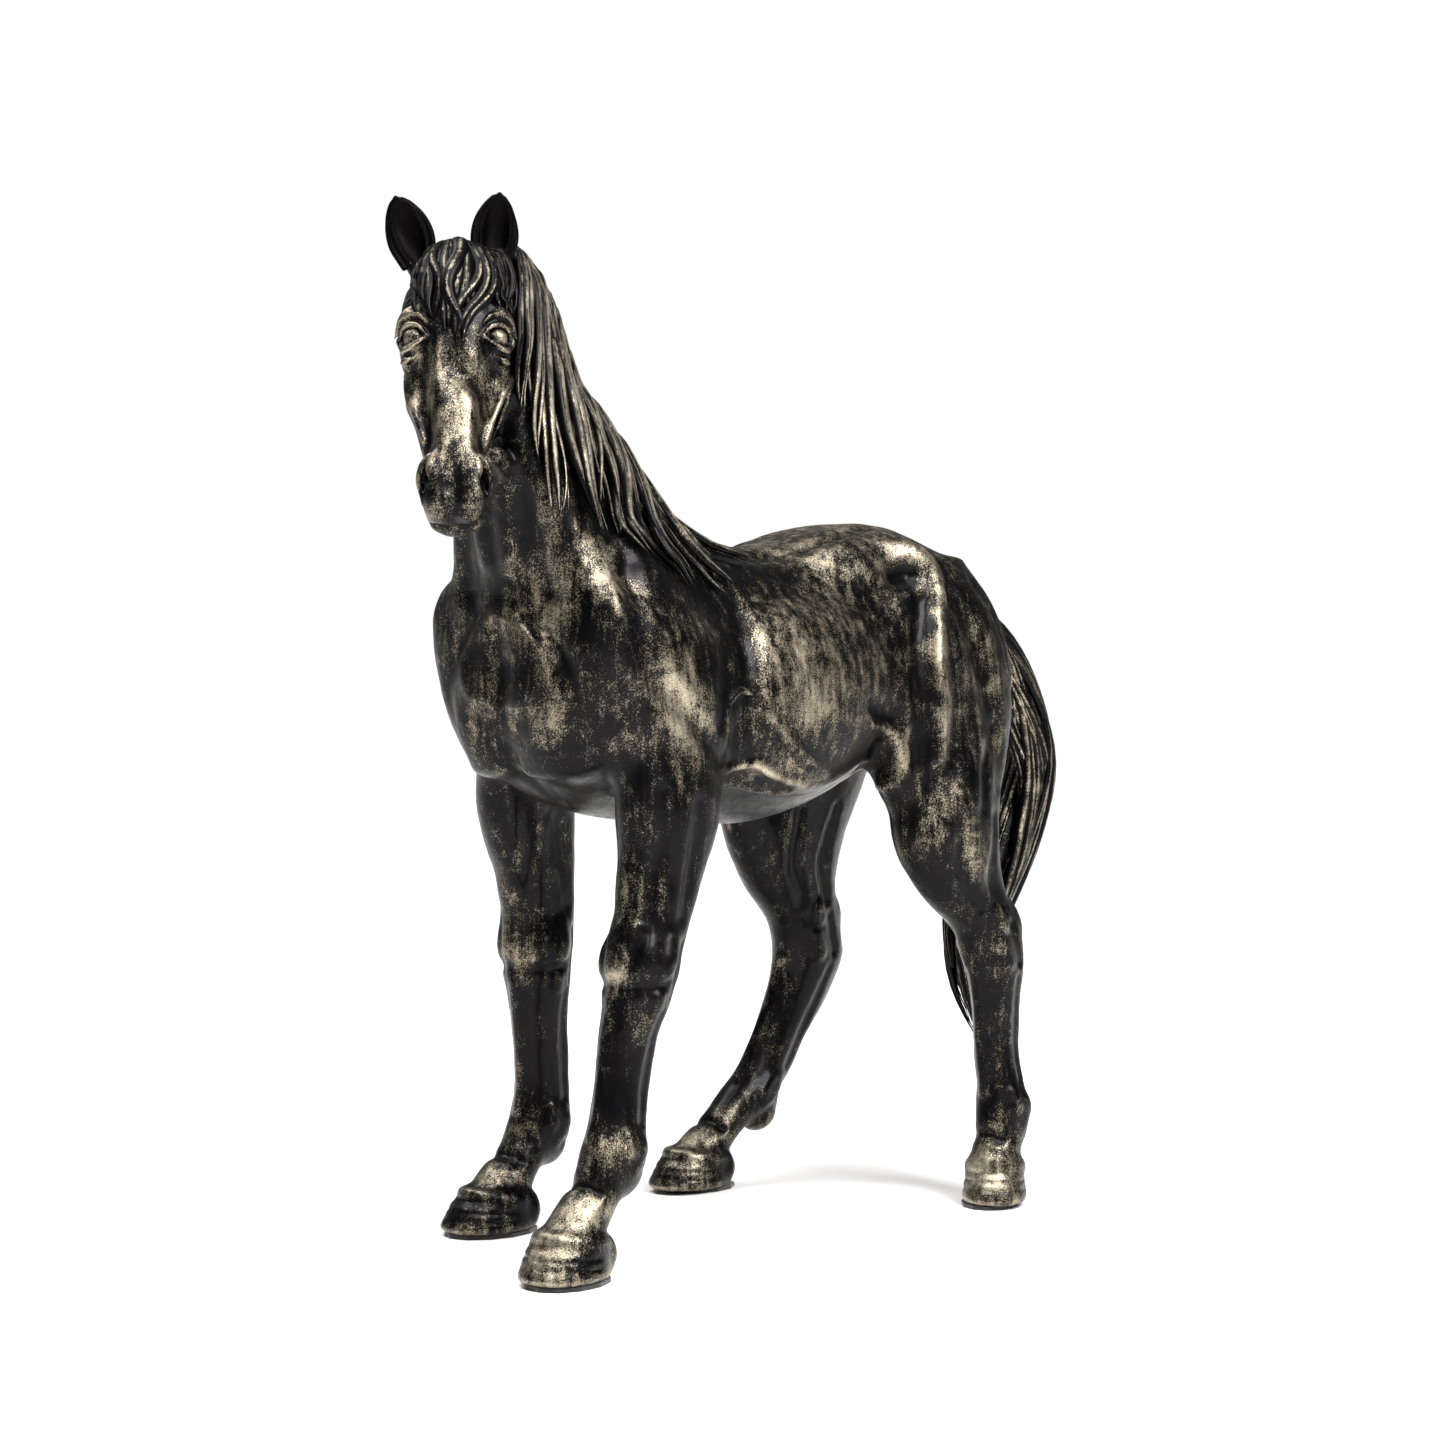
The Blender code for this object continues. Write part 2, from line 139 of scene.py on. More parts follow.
def strand(points, radii, blend=1.5, cut=False, place=bodyPlace, steps=4, lift=None):
    # A chain of tapering rods: tendons, veins, folds, rims. With a lift it is laid on the rough body.
    radii = np.atleast_1d(radii).astype(float)
    radii = np.interp(np.linspace(0, 1, len(points)), np.linspace(0, 1, len(radii)), radii)
    path = splineRows(np.column_stack([toWorld(place, points), radii]), steps)
    if lift is not None:
        path[:, :3] = pullOnto(*rough, path[:, :3], -lift)

    def distance(x, y, z):
        best = None
        for a, b in zip(path, path[1:]):
            step = b[:3] - a[:3]
            px, py, pz = x - a[0], y - a[1], z - a[2]
            length2 = max(step @ step, 1e-6)
            along = np.clip((px * step[0] + py * step[1] + pz * step[2]) / length2, 0, 1)
            square = (px - along * step[0]) ** 2 + (py - along * step[1]) ** 2 + (pz - along * step[2]) ** 2
            gap = np.sqrt(square) - (a[3] + along * (b[3] - a[3]))
            best = gap if best is None else np.minimum(best, gap)
        return best

    reach = path[:, 3].max()
    return clay(distance, np.vstack([path[:, :3] - reach, path[:, :3] + reach]), blend, cut)


def stack(rows, blend=8.0, place=bodyPlace, taper=0.0, power=2.0, cut=False, spare=6.0):
    # Ellipses piled along the place's third axis; rows are (along, across, up, half width, half depth)
    table = splineRows(rows)
    table = table[np.argsort(table[:, 0], kind="stable")]
    low, high = table[0, 0], table[-1, 0]
    ends = np.array([[r[1] + i * r[3], r[2] + j * r[4], r[0]]
                     for r in table for i in (-1, 1) for j in (-1, 1)])

    def distance(x, y, z):
        u, v, s = localAxes(place, x, y, z)
        u0, v0, a, b = (np.interp(s, table[:, 0], table[:, k]) for k in (1, 2, 3, 4))
        u, v = u - u0, v - v0
        tall = v / b
        a = a * (1 - taper * np.clip(tall, -1, 1))
        length = np.sqrt(u * u + v * v)
        if power == 2.0:
            scaled = np.sqrt((u / a) ** 2 + tall**2) + 1e-6
        else:
            scaled = (np.abs(u / a) ** power + np.abs(tall) ** power) ** (1 / power) + 1e-6
        side = length / scaled * (scaled - 1)
        end = np.maximum(low - s, s - high)
        return np.where(end > 0, np.sqrt(np.maximum(side, 0) ** 2 + end**2), np.maximum(side, end))

    return clay(distance, toWorld(place, ends), blend, cut, spare)


def fillField(forms, low, high, step):
    axes = [np.arange(a, b + step, step, dtype=np.float32) for a, b in zip(low, high)]
    field = np.full([len(a) for a in axes], 25.0, np.float32)
    for form in forms:
        spans = tuple(
            slice(np.searchsorted(axis, a), np.searchsorted(axis, b))
            for axis, a, b in zip(axes, form["low"], form["high"])
        )
        if any(s.stop <= s.start for s in spans):
            continue
        x = axes[0][spans[0]][:, None, None]
        y = axes[1][spans[1]][None, :, None]
        z = axes[2][spans[2]][None, None, :]
        new = form["distance"](x, y, z).astype(np.float32)
        old, blend = field[spans], form["blend"]
        if form["cut"]:
            near = np.maximum(blend - np.abs(old + new), 0)
            field[spans] = np.maximum(old, -new) + near * near / (4 * blend)
        else:
            near = np.maximum(blend - np.abs(old - new), 0)
            field[spans] = np.minimum(old, new) - near * near / (4 * blend)
    return axes, field


def sample(axes, field, points):
    # Trilinear reading of the field and its slope
    step = axes[0][1] - axes[0][0]
    origin = np.array([a[0] for a in axes])
    where = (points - origin) / step
    base = np.clip(np.floor(where).astype(int), 0, np.array(field.shape) - 2)
    f = np.clip(where - base, 0, 1)
    i, j, k = base.T
    c = {(a, b, d): field[i + a, j + b, k + d] for a in (0, 1) for b in (0, 1) for d in (0, 1)}
    fx, fy, fz = f.T
    x00, x10 = c[0, 0, 0] * (1 - fx) + c[1, 0, 0] * fx, c[0, 1, 0] * (1 - fx) + c[1, 1, 0] * fx
    x01, x11 = c[0, 0, 1] * (1 - fx) + c[1, 0, 1] * fx, c[0, 1, 1] * (1 - fx) + c[1, 1, 1] * fx
    low, high = x00 * (1 - fy) + x10 * fy, x01 * (1 - fy) + x11 * fy
    value = low * (1 - fz) + high * fz
    dz = high - low
    dy = (x10 - x00) * (1 - fz) + (x11 - x01) * fz
    dx = (((c[1, 0, 0] - c[0, 0, 0]) * (1 - fy) + (c[1, 1, 0] - c[0, 1, 0]) * fy) * (1 - fz)
          + ((c[1, 0, 1] - c[0, 0, 1]) * (1 - fy) + (c[1, 1, 1] - c[0, 1, 1]) * fy) * fz)
    return value, np.column_stack([dx, dy, dz]) / step


def pullOnto(axes, field, points, depth=0.0, turns=4):
    points = np.array(points, float)
    for _ in range(turns):
        value, slope = sample(axes, field, points)
        points -= slope * ((value + depth) / np.maximum((slope**2).sum(1), 0.05))[:, None]
    return points


def skinOf(axes, field):
    # Surface nets: one point in each cell that the surface crosses, one quad for each crossed grid edge
    inside = field < 0
    count = sum(
        inside[i : i - 1 or None, j : j - 1 or None, k : k - 1 or None].astype(np.int8)
        for i in (0, 1) for j in (0, 1) for k in (0, 1)
    )
    cells = np.argwhere((count > 0) & (count < 8))
    index = np.full(count.shape, -1, np.int64)
    index[tuple(cells.T)] = np.arange(len(cells))
    corner = {(a, b, c): field[cells[:, 0] + a, cells[:, 1] + b, cells[:, 2] + c]
              for a in (0, 1) for b in (0, 1) for c in (0, 1)}
    total, hits = np.zeros((len(cells), 3)), np.zeros(len(cells))
    for axis in range(3):
        for p in (0, 1):
            for q in (0, 1):
                start = [p, q]
                start.insert(axis, 0)
                end = list(start)
                end[axis] = 1
                a, b = corner[tuple(start)], corner[tuple(end)]
                crossed = (a < 0) != (b < 0)
                share = np.where(crossed, a / np.where(crossed, a - b, 1), 0)
                point = np.tile(np.array(start, float), (len(cells), 1))
                point[:, axis] = share
                total += point * crossed[:, None]
                hits += crossed
    step = axes[0][1] - axes[0][0]
    points = (cells + total / hits[:, None]) * step + np.array([a[0] for a in axes])
    quads = []
    for axis in range(3):
        a = np.moveaxis(inside, axis, 0)
        turned = np.moveaxis(index, axis, 0)
        crossed = np.argwhere(a[:-1, 1:-1, 1:-1] != a[1:, 1:-1, 1:-1])
        i, j, k = crossed.T
        ring = np.column_stack([turned[i, j, k], turned[i, j + 1, k], turned[i, j + 1, k + 1],
                                turned[i, j, k + 1]])
        outward = a[i, j + 1, k + 1]
        if axis == 1:
            outward = ~outward
        ring[~outward] = ring[~outward][:, ::-1]
        quads.append(ring)
    return pullOnto(axes, field, points, turns=2), np.vstack(quads)


trunk = {
    # y, top, bottom, half width
    "rows": [(-79, 184, 160, 16), (-74, 195, 147, 31), (-60, 203, 133, 37), (-40, 207, 126, 38),
             (-12, 207, 123, 38), (18, 206, 122, 40.5), (45, 210, 129, 39), (74, 213.5, 143, 36),
             (98, 203.6, 154, 32), (113, 192, 160, 23), (121.5, 187, 166, 13), (125.5, 180, 172, 4)],
    "taper": 0.13,
}
neckAxis = np.array([0, -0.438, 0.899])
neckPlace = (np.array([0, -36.0, 166.0]), np.array([[1, 0, 0], [0, 0.899, 0.438], neckAxis]))
neck = {
    # along the neck, towards the crest, half width, half depth
    "rows": [(-6, -3, 31, 42), (23, 1.4, 28, 35.4), (44, 3.0, 23, 30), (64, 2.2, 18.5, 23.8),
             (84, 2.0, 15, 18.2), (103, 3.8, 13, 18.8), (119, 4.6, 12, 16.8), (130, 3.8, 9, 13)],
    "taper": 0.22,
}
headTurn, headDrop = math.radians(46.5), math.radians(28)
ahead = np.array([math.sin(headTurn), -math.cos(headTurn), 0])
headPlace = (
    np.array([-1.4, -94.6, 290.0]),
    np.array([
        [math.cos(headTurn), math.sin(headTurn), 0],
        ahead * math.cos(headDrop) + np.array([0, 0, math.sin(headDrop)]),
        ahead * math.sin(headDrop) - np.array([0, 0, math.cos(headDrop)]),
    ]),
)
head = {
    # from the poll towards the nose, brow line, jaw line, half width
    "rows": [(-3, -4, -18, 7), (2, 0, -23, 11), (12, 3.4, -28, 13.6), (24, 4.0, -32, 14.6),
             (36, 3, -30, 13.6), (48, 1.2, -24.5, 10.6), (59, -0.6, -20.5, 8.4), (69, -2.2, -19.5, 7.8),
             (77, -4.6, -19.4, 8.0), (83, -8.4, -17.5, 6.6)],
}
legs = {
    # z, x, y, half width, half depth
    "foreleg_left": [(196, 24, -47, 5, 10), (180, 27, -47, 13, 21), (160, 31, -45, 12.5, 20.5),
                     (143, 32.5, -43, 11.5, 19), (126, 33, -44.8, 10.8, 16.8),
                     (108, 33.2, -49.4, 10.2, 14), (96, 33.6, -53, 9.8, 12), (86, 33.6, -56, 10.2, 11),
                     (76, 33.4, -58.2, 9.4, 10.2), (66, 33, -61.3, 7.5, 9.2), (52, 33, -64, 7.0, 8.7),
                     (43, 33.4, -66, 7.4, 9.0), (35, 34, -68.4, 8.0, 10.2), (27, 34, -73, 7.2, 9.4),
                     (20, 34, -79.4, 7.8, 9.6), (14, 34, -84, 8.6, 10), (10, 34, -86, 8.8, 10)],
    "foreleg_right": [(196, -24, -47, 5, 10), (180, -27, -47, 13, 21), (160, -30.4, -44, 11.4, 20.5),
                      (143, -31, -39, 9.6, 18.5), (126, -34, -35, 10.4, 15.5),
                      (108, -35.8, -32.2, 11.2, 13.4), (95, -35.8, -30.8, 10.7, 11.6),
                      (84, -35.8, -30.8, 11, 11), (74, -36, -30.5, 9.8, 10.0), (64, -36, -30, 8.0, 9.4),
                      (50, -36, -29, 7.5, 9.0), (40, -36, -29, 7.7, 9.2), (31, -36, -30.4, 8.2, 10.4),
                      (24, -36, -35.6, 7.4, 9.6), (18, -36, -42.4, 8, 10), (12, -36, -47, 8.8, 10.2),
                      (9, -36, -49, 8.8, 10.2)],
    "hindleg_left": [(203, 22, 82, 7, 18), (186, 26, 80, 13, 30), (165, 29, 80, 14.5, 35),
                     (146, 31.5, 80.4, 14.5, 28.6), (128, 34.5, 78, 13, 23.2),
                     (112, 37, 76.8, 11.5, 21.2), (98, 38.6, 82.8, 9.8, 17.2),
                     (86, 40.8, 91.8, 8.8, 12.8), (75, 41.8, 94.2, 8.2, 10.8), (63, 42.2, 94.4, 6.8, 8.9),
                     (48, 42.8, 94.2, 6.4, 8.2), (38, 44, 94.6, 6.8, 8.4), (31, 44.9, 94.4, 7.6, 9.0),
                     (24, 45.4, 92.4, 7.0, 8.2), (18, 46, 90.4, 7.4, 8.2), (12, 46, 89.4, 8.0, 9.0)],
    "hindleg_right": [(203, -22, 82, 7, 18), (186, -26, 80, 13, 30), (165, -29, 81, 14.5, 36),
                      (146, -31, 82.4, 14.5, 38), (128, -33, 81.2, 13.5, 32.4), (112, -34, 80, 12, 26),
                      (97, -35, 83.4, 10.4, 19.4), (84, -36, 91, 9.4, 14.2), (72, -37, 94.2, 9, 14.4),
                      (60, -38, 90.2, 7.8, 13.2), (46, -39, 81.8, 7.0, 11.2), (36, -40, 75.6, 7.4, 11),
                      (29, -41, 69.4, 8.0, 11.4), (22, -41.7, 61, 7.4, 10.4), (16, -42, 52, 7.8, 10.6),
                      (11, -42, 46.6, 8.2, 10.4)],
}
hooves = {
    # x, y, coronet z, half width, half length, degrees turned out
    "foreleg_left": (33.8, -87.2, 12.6, 11.8, 14.8, 12),
    "foreleg_right": (-36, -51.4, 11.8, 11.8, 15.2, 6),
    "hindleg_left": (46.2, 89, 13.2, 10, 12.8, 34),
    "hindleg_right": (-42, 42.4, 11.6, 10.8, 14.4, 4),
}
# Joints of each leg: knee or hock (z, x, y) and fetlock, read by the bones and tendons
knees = {"foreleg_left": (86, 33, -57), "foreleg_right": (84, -36, -31), "hindleg_left": (84, 40.8, 94.4),
         "hindleg_right": (82, -36, 96)}
fetlocks = {"foreleg_left": (35, 34, -69), "foreleg_right": (31, -36, -31),
            "hindleg_left": (31, 44.6, 94.2), "hindleg_right": (29, -41, 70.4)}


def legAxis(name, z):
    # Centre of the leg at a height
    table = np.array(sorted(legs[name]))
    return [np.interp(z, table[:, 0], table[:, k]) for k in (1, 2)]


def mirrored(make):
    # The same form on the left and on the right
    return [f for side in (1, -1) for f in make(side)]


def trunkForms():
    rows = [(y, 0, (top + low) / 2, half, (top - low) / 2) for y, top, low, half in trunk["rows"]]
    alongY = (np.zeros(3), np.array([[1, 0, 0], [0, 0, 1], [0, 1, 0]]))
    forms = [stack(rows, 10, alongY, trunk["taper"])]
    forms.append(ellipsoid((0, -16, 198.5), (9, 27, 8), (-6, 0, 0), 10))  # withers
    forms += mirrored(lambda s: [
        ellipsoid((s * 24, -50, 179), (12, 15, 27), (14, 0, s * 8), 9),  # shoulder blade and its muscle
        ellipsoid((s * 30, -33, 161), (9.5, 15, 19), (-24, 0, 0), 6),  # triceps
        ellipsoid((s * 30.5, -65, 178), (10, 9, 17), (10, 0, s * 20), 7),  # point of the shoulder
        ellipsoid((s * 14, -66, 160), (15, 12.5, 21), (-8, 0, s * -10), 7),  # breast
        ellipsoid((s * 13, 66, 196.2), (17, 35, 15), (-4, 0, s * 6), 9),  # croup
        ellipsoid((s * 28, 66, 196), (7, 8, 8.5), (-20, 0, 0), 6),  # hip bone
        ellipsoid((s * 31, 66, 160), (11, 15, 32), (-16, 0, 0), 7),  # front of the thigh
        ellipsoid((s * 27, 91, 166), (13, 16, 32), (8, 0, s * -6), 7),  # back of the thigh
        ellipsoid((s * 17, 106, 171), (12, 13, 22), (6, 0, 0), 8),  # buttock
        ellipsoid((s * 33, 12, 160), (8, 34, 24), (6, 0, 0), 12),  # ribs
    ])
    return forms


def neckForms():
    rows = [(along, 0, up, a, b) for along, up, a, b in neck["rows"]]
    forms = [stack(rows, 10, neckPlace, neck["taper"])]
    forms += mirrored(lambda s: [
        strand([(s * 9, -88, 262), (s * 10, -82, 240), (s * 14, -74, 218), (s * 20, -66, 192)],
               (4, 6, 8, 9), 8),
        ellipsoid((s * 10, -56, 222), (6, 12, 24), (26, 0, s * 4), 9),
    ])
    return forms


def inHead(make, *args, **more):
    return make(*args, place=headPlace, **more)


def headForms():
    rows = [(reach, 0, (brow + jaw) / 2, half, (brow - jaw) / 2) for reach, brow, jaw, half in head["rows"]]
    forms = [stack(rows, 6, headPlace, 0.16, 2.3)]
    forms.append(inHead(ellipsoid, (0, 1.6, 19), (10.5, 4.4, 15), blend=5))  # forehead
    bridge = [(24, 0, -1.4, 7.6, 5.0), (34, 0, -1.8, 7.4, 5.2), (46, 0, -3.0, 6.4, 5.0),
              (58, 0, -4.2, 5.6, 4.7), (68, 0, -5.6, 5.0, 4.4), (75, 0, -7.6, 4.4, 4.0),
              (79, 0, -9.8, 3.6, 3.4)]
    forms.append(stack(bridge, 2.0, headPlace, 0.0, 3.6, spare=4))  # flat front of the nose
    forms.append(inHead(ellipsoid, (0, -17, 78), (6.2, 4.8, 6.2), blend=4))  # chin and lower lip
    forms += mirrored(lambda s: [
        inHead(ellipsoid, (s * 9.4, -19.5, 19), (6.2, 12.0, 16), (0, 0, s * -6), blend=4),  # cheek
        inHead(strand,
               [(s * 7, -30, 8), (s * 8.5, -32, 20), (s * 8, -29, 31), (s * 7, -24.5, 42),
                (s * 5.5, -21, 54)],
               (3.2, 3.4, 2.6, 2.2, 2), blend=3.5),  # jaw bone
        inHead(strand, [(s * 11.4, -8, 38), (s * 10.2, -9.5, 46), (s * 8.6, -11, 54), (s * 6.8, -12, 60)],
               (1.9, 1.8, 1.4, 0.8), blend=6),  # facial crest
        inHead(ellipsoid, (s * 11.6, -3.0, 29.5), (4.0, 5.0, 9), (0, s * 6, 0), blend=4),  # socket
        # brow
        inHead(strand,
               [(s * 9.0, 0.6, 22.5), (s * 12.0, 1.2, 23.6), (s * 14.2, -0.6, 26), (s * 15.2, -3.2, 31)],
               (1.0, 1.4, 1.4, 0.9), blend=2.6),
        inHead(ellipsoid, (s * 5.0, -7.6, 73), (3.2, 4.8, 8.0), (0, 0, s * -12), blend=5),  # nostril wing
        inHead(ellipsoid, (s * 3.8, -9.4, 79.4), (4.2, 5.0, 4.4), blend=3),  # upper lip
    ])
    return forms


def eyePlace(s):
    # Across the eye, along the head, straight out of the eye
    axes = np.array([[s * 0.74, -0.673, 0], [0, 0, 1], [s * 0.673, 0.74, 0]]) @ headPlace[1]
    return toWorld(headPlace, [(s * 11.7, -0.2, 31.5)])[0], axes


def eyeForms(s):
    here = eyePlace(s)
    return [
        ellipsoid((0.2, 0, 1.8), (4.8, 3.6, 3.0), blend=1.0, cut=True, place=here),  # hollow
        ellipsoid((0.2, 0.1, -1.0), (3.2, 2.9, 3.2), blend=0.4, place=here),  # eyeball
        strand([(-4.8, 1.4, -0.6), (-3.4, -1.6, 1.0), (-0.4, -3.0, 1.9), (2.8, -2.4, 1.4),
                (5.2, 0.4, -0.4)],
               (0.4, 0.65, 0.8, 0.7, 0.4), 0.5, place=here),  # upper lid
        strand([(-5.2, -0.8, 0.6), (-3.6, -3.2, 1.8), (-0.4, -4.5, 2.5), (3.2, -3.8, 1.9),
                (6.2, -1.0, 0.2)],
               (0.5, 0.55, 0.6, 0.55, 0.5), 0.8, cut=True, place=here),  # crease over the lid
        strand([(-5.4, -2.4, 0.6), (-3.8, -4.8, 1.6), (-0.4, -6.2, 2.2), (3.4, -5.4, 1.7),
                (7.0, -2.4, 0.0)],
               (0.3, 0.6, 0.7, 0.6, 0.3), 0.9, place=here),  # fold over the crease
        strand([(-4.8, 1.4, -0.6), (-2.4, 2.8, 0.4), (0.8, 3.2, 0.7), (3.6, 2.4, 0.2), (5.2, 0.4, -0.4)],
               (0.4, 0.6, 0.65, 0.6, 0.4), 0.5, place=here),  # lower lid
        strand([(-5.8, 3.0, -0.4), (-2.6, 4.8, 0), (1.0, 5.2, 0.2), (4.8, 4.2, -0.4)], (0.4, 0.7, 0.7, 0.4),
               1.2, cut=True, place=here),
        strand([(-6.0, 5.2, -0.6), (-2.6, 7.0, -0.4), (1.4, 7.2, -0.4), (5.2, 6.0, -1.0)],
               (0.3, 0.6, 0.6, 0.3), 1.6, place=here),
    ]


def headTooling():
    forms = eyeForms(1) + eyeForms(-1)
    return forms + mirrored(lambda s: [
        inHead(strand,
               [(s * 11.6, -2.6, 38), (s * 9.6, -4.4, 47), (s * 7.8, -6.0, 57), (s * 7.0, -7.0, 64)],
               (0.5, 0.8, 0.7, 0.5), blend=3.5, cut=True, lift=0.6),  # beside the bridge
        inHead(strand, [(s * 13, -15, 42), (s * 11, -16.5, 51), (s * 9, -16.5, 60)], (1.6, 1.8, 1.2),
               blend=4, cut=True, lift=1.1),
        # behind the cheek
        inHead(strand, [(s * 15.4, -8, 5), (s * 16.6, -20, 4), (s * 14, -32, 9)], (1.6, 1.8, 1.2),
               blend=2.5, cut=True, lift=0.9),
        # nostril
        inHead(ellipsoid, (s * 7.6, -5.6, 73.6), (1.7, 2.6, 4.8), (16, s * 10, s * 34), blend=1.0,
               cut=True),
        inHead(strand,
               [(s * 5.0, -2.4, 67.6), (s * 6.4, -2.8, 69.2), (s * 6.6, -3.6, 72.4), (s * 6.0, -5.6, 77)],
               (0.3, 0.6, 0.7, 0.3), blend=1.4),  # inner rim of the nostril
        inHead(strand,
               [(s * 7.0, -3.0, 67.6), (s * 9.0, -4.8, 70), (s * 9.6, -7.0, 74), (s * 8.6, -9.4, 79)],
               (0.4, 0.8, 0.9, 0.4), blend=1.2),  # outer rim
        inHead(strand,
               [(s * 8.6, -13.2, 65), (s * 8.2, -13.6, 73), (s * 6.8, -13.8, 80), (s * 2.4, -13.4, 86)],
               0.9, blend=1.0, cut=True, lift=0.2),
        # temple
        inHead(strand, [(s * 12.0, -1, 11), (s * 13.5, -1, 16), (s * 12.4, 1, 20)], (2, 2.6, 1.5), blend=4,
               cut=True, lift=1.2),
        # veins
        inHead(strand, [(s * 14, -11, 38), (s * 12.5, -18, 43), (s * 11, -23, 47)], (0.4, 0.7, 0.4),
               blend=1.6, lift=0.1),
        inHead(strand, [(s * 13.4, -10, 40), (s * 11, -8.6, 49), (s * 8.6, -8.4, 60)], (0.4, 0.7, 0.4),
               blend=1.6, lift=0.1),
    ])


def trunkTooling():
    # Folds, hollows and grooves; each is laid on the finished mass
    forms = [strand([(0, -82, 180), (0, -82, 170), (0, -79, 160)], (1.2, 3.0, 1.6), 5, cut=True, lift=1.3),
             strand([(0, -74, 148), (0, -66, 138), (0, -56, 131)], (1.2, 2.2, 1.2), 5, cut=True, lift=1.5)]
    table = [
        # points on the left side, radii, blend, cut, lift
        ([(37, 60, 199), (35, 56, 198)], (4.4, 3.4), 3.5, True, 0.6),  # pit before the hip
        # behind the shoulder
        ([(38, -14, 196), (42, -16, 180), (45, -17, 164), (45, -21, 148)], (2, 3, 3, 2), 6, True, 1.7),
        # breast from shoulder
        ([(14, -80, 186), (24, -78, 172), (27, -77, 158), (24, -74, 144)], (1.6, 2.4, 2.4, 1.6), 6, True,
         1.6),
        # blade from arm
        ([(30, -58, 200), (38, -64, 188), (41, -62, 174), (44, -54, 162)], (1.6, 2.6, 2.6, 1.6), 6, True,
         1.6),
        # triceps from forearm
        ([(45, -58, 166), (48, -46, 156), (46, -32, 145), (42, -22, 142)], (1.4, 2.2, 2.2, 1.2), 4, True,
         1.1),
        ([(40, -24, 178), (44, -28, 166), (45, -32, 154)], (1.6, 2.4, 1.6), 4, True, 1.4),
        ([(26, 58, 207), (30, 67, 205), (37, 73, 198), (42, 68, 186), (45, 65, 172), (46, 65, 156),
          (46, 63, 140)],
         (1.6, 3.0, 3.2, 2.6, 2.2, 2.2, 1.4), 3.4, False, -0.5),  # hip and the ridge down the thigh
        ([(40, 62, 190), (43, 58, 178), (44, 57, 166), (44, 57, 150), (42, 56, 140)],
         (1.8, 3.0, 3.0, 2.6, 1.6), 4, True, 1.2),
        ([(42, 78, 196), (47, 84, 182), (48, 88, 164), (47, 92, 146), (44, 94, 132)],
         (1.6, 2.8, 3.0, 2.4, 1.4), 6, True, 1.6),
        ([(34, 96, 196), (38, 106, 182), (38, 110, 164), (36, 110, 148)], (1.6, 2.6, 2.6, 1.4), 6, True,
         1.6),
        ([(41, 38, 152), (40, 46, 150), (39, 51, 145), (38, 53, 138), (35, 52, 133), (29, 48, 130)],
         (1.2, 1.9, 2.2, 2.0, 1.6, 1.0), 2.6, False, -0.5),  # flank fold
        ([(38, 44, 143), (34, 46, 137), (28, 45, 131)], (2.6, 3.6, 2.6), 3, True, 0.9),
        ([(42, 36, 158), (42, 42, 156), (42, 48, 154)], (1.4, 2.2, 1.4), 4, True, 1.3),
        # girth fold
        ([(39, -21, 139), (39, -13, 141), (38, -6, 138.6), (37, 2, 136.4), (36, 10, 135.4)],
         (1.1, 1.7, 1.6, 1.3, 0.7), 1.2, False, -0.1),
        ([(37, -20, 135.4), (37, -12, 136.6), (36, -4, 134.4), (35, 6, 132.6)], (0.9, 1.5, 1.4, 0.8), 1.2,
         True, 0.4),
        ([(35, -20, 131.5), (34, -11, 131), (33, -2, 130.4), (34, 7, 131)], (0.8, 1.3, 1.2, 0.7), 1.6,
         False, 0.0),
        # pinch of skin
        ([(41, -26, 161), (42, -21.5, 163.6), (42, -17, 162.4)], (0.7, 1.5, 0.7), 1.2, False, 0.0),
        ([(41, -25, 158.6), (42, -21, 160.8), (42, -16.5, 160)], (0.7, 1.2, 0.6), 1.2, True, 0.4),
        # vein on the belly
        ([(42, -10, 156), (42, -2, 148), (41, 8, 142), (38, 18, 138)], (0.7, 1.0, 1.0, 0.6), 2.4, False,
         -0.4),
        ([(44, 92, 150), (46, 84, 138), (44, 78, 126)], (1.2, 1.8, 1.0), 4, True, 0.9),
        ([(18, 30, 212), (18, 46, 214), (16, 60, 216)], (1.6, 2.2, 1.4), 5, True, 1.3),  # beside the loins
        ([(12, -8, 207), (13, 6, 205), (14, 22, 207)], (1.6, 2.2, 1.4), 6, True, 1.5),
    ]
    for points, radii, blend, cut, lift in table:
        creases = blend < 2.5  # the small folds show on the left only
        for s in (1,) if creases else (1, -1):
            forms.append(strand([(s * x, y, z) for x, y, z in points], radii, blend, cut, lift=lift))
    return forms


def neckTooling():
    return mirrored(lambda s: [
        strand([(s * 9, -104, 250), (s * 12, -97, 232), (s * 15, -91, 212), (s * 17, -84, 192)],
               (1.2, 2.4, 2.6, 1.4), 7, cut=True, lift=1.6),
        strand([(s * 4, -104, 244), (s * 4, -96, 222), (s * 5, -88, 200)], (1.4, 2.4, 1.6), 6, lift=-1.7),
    ])


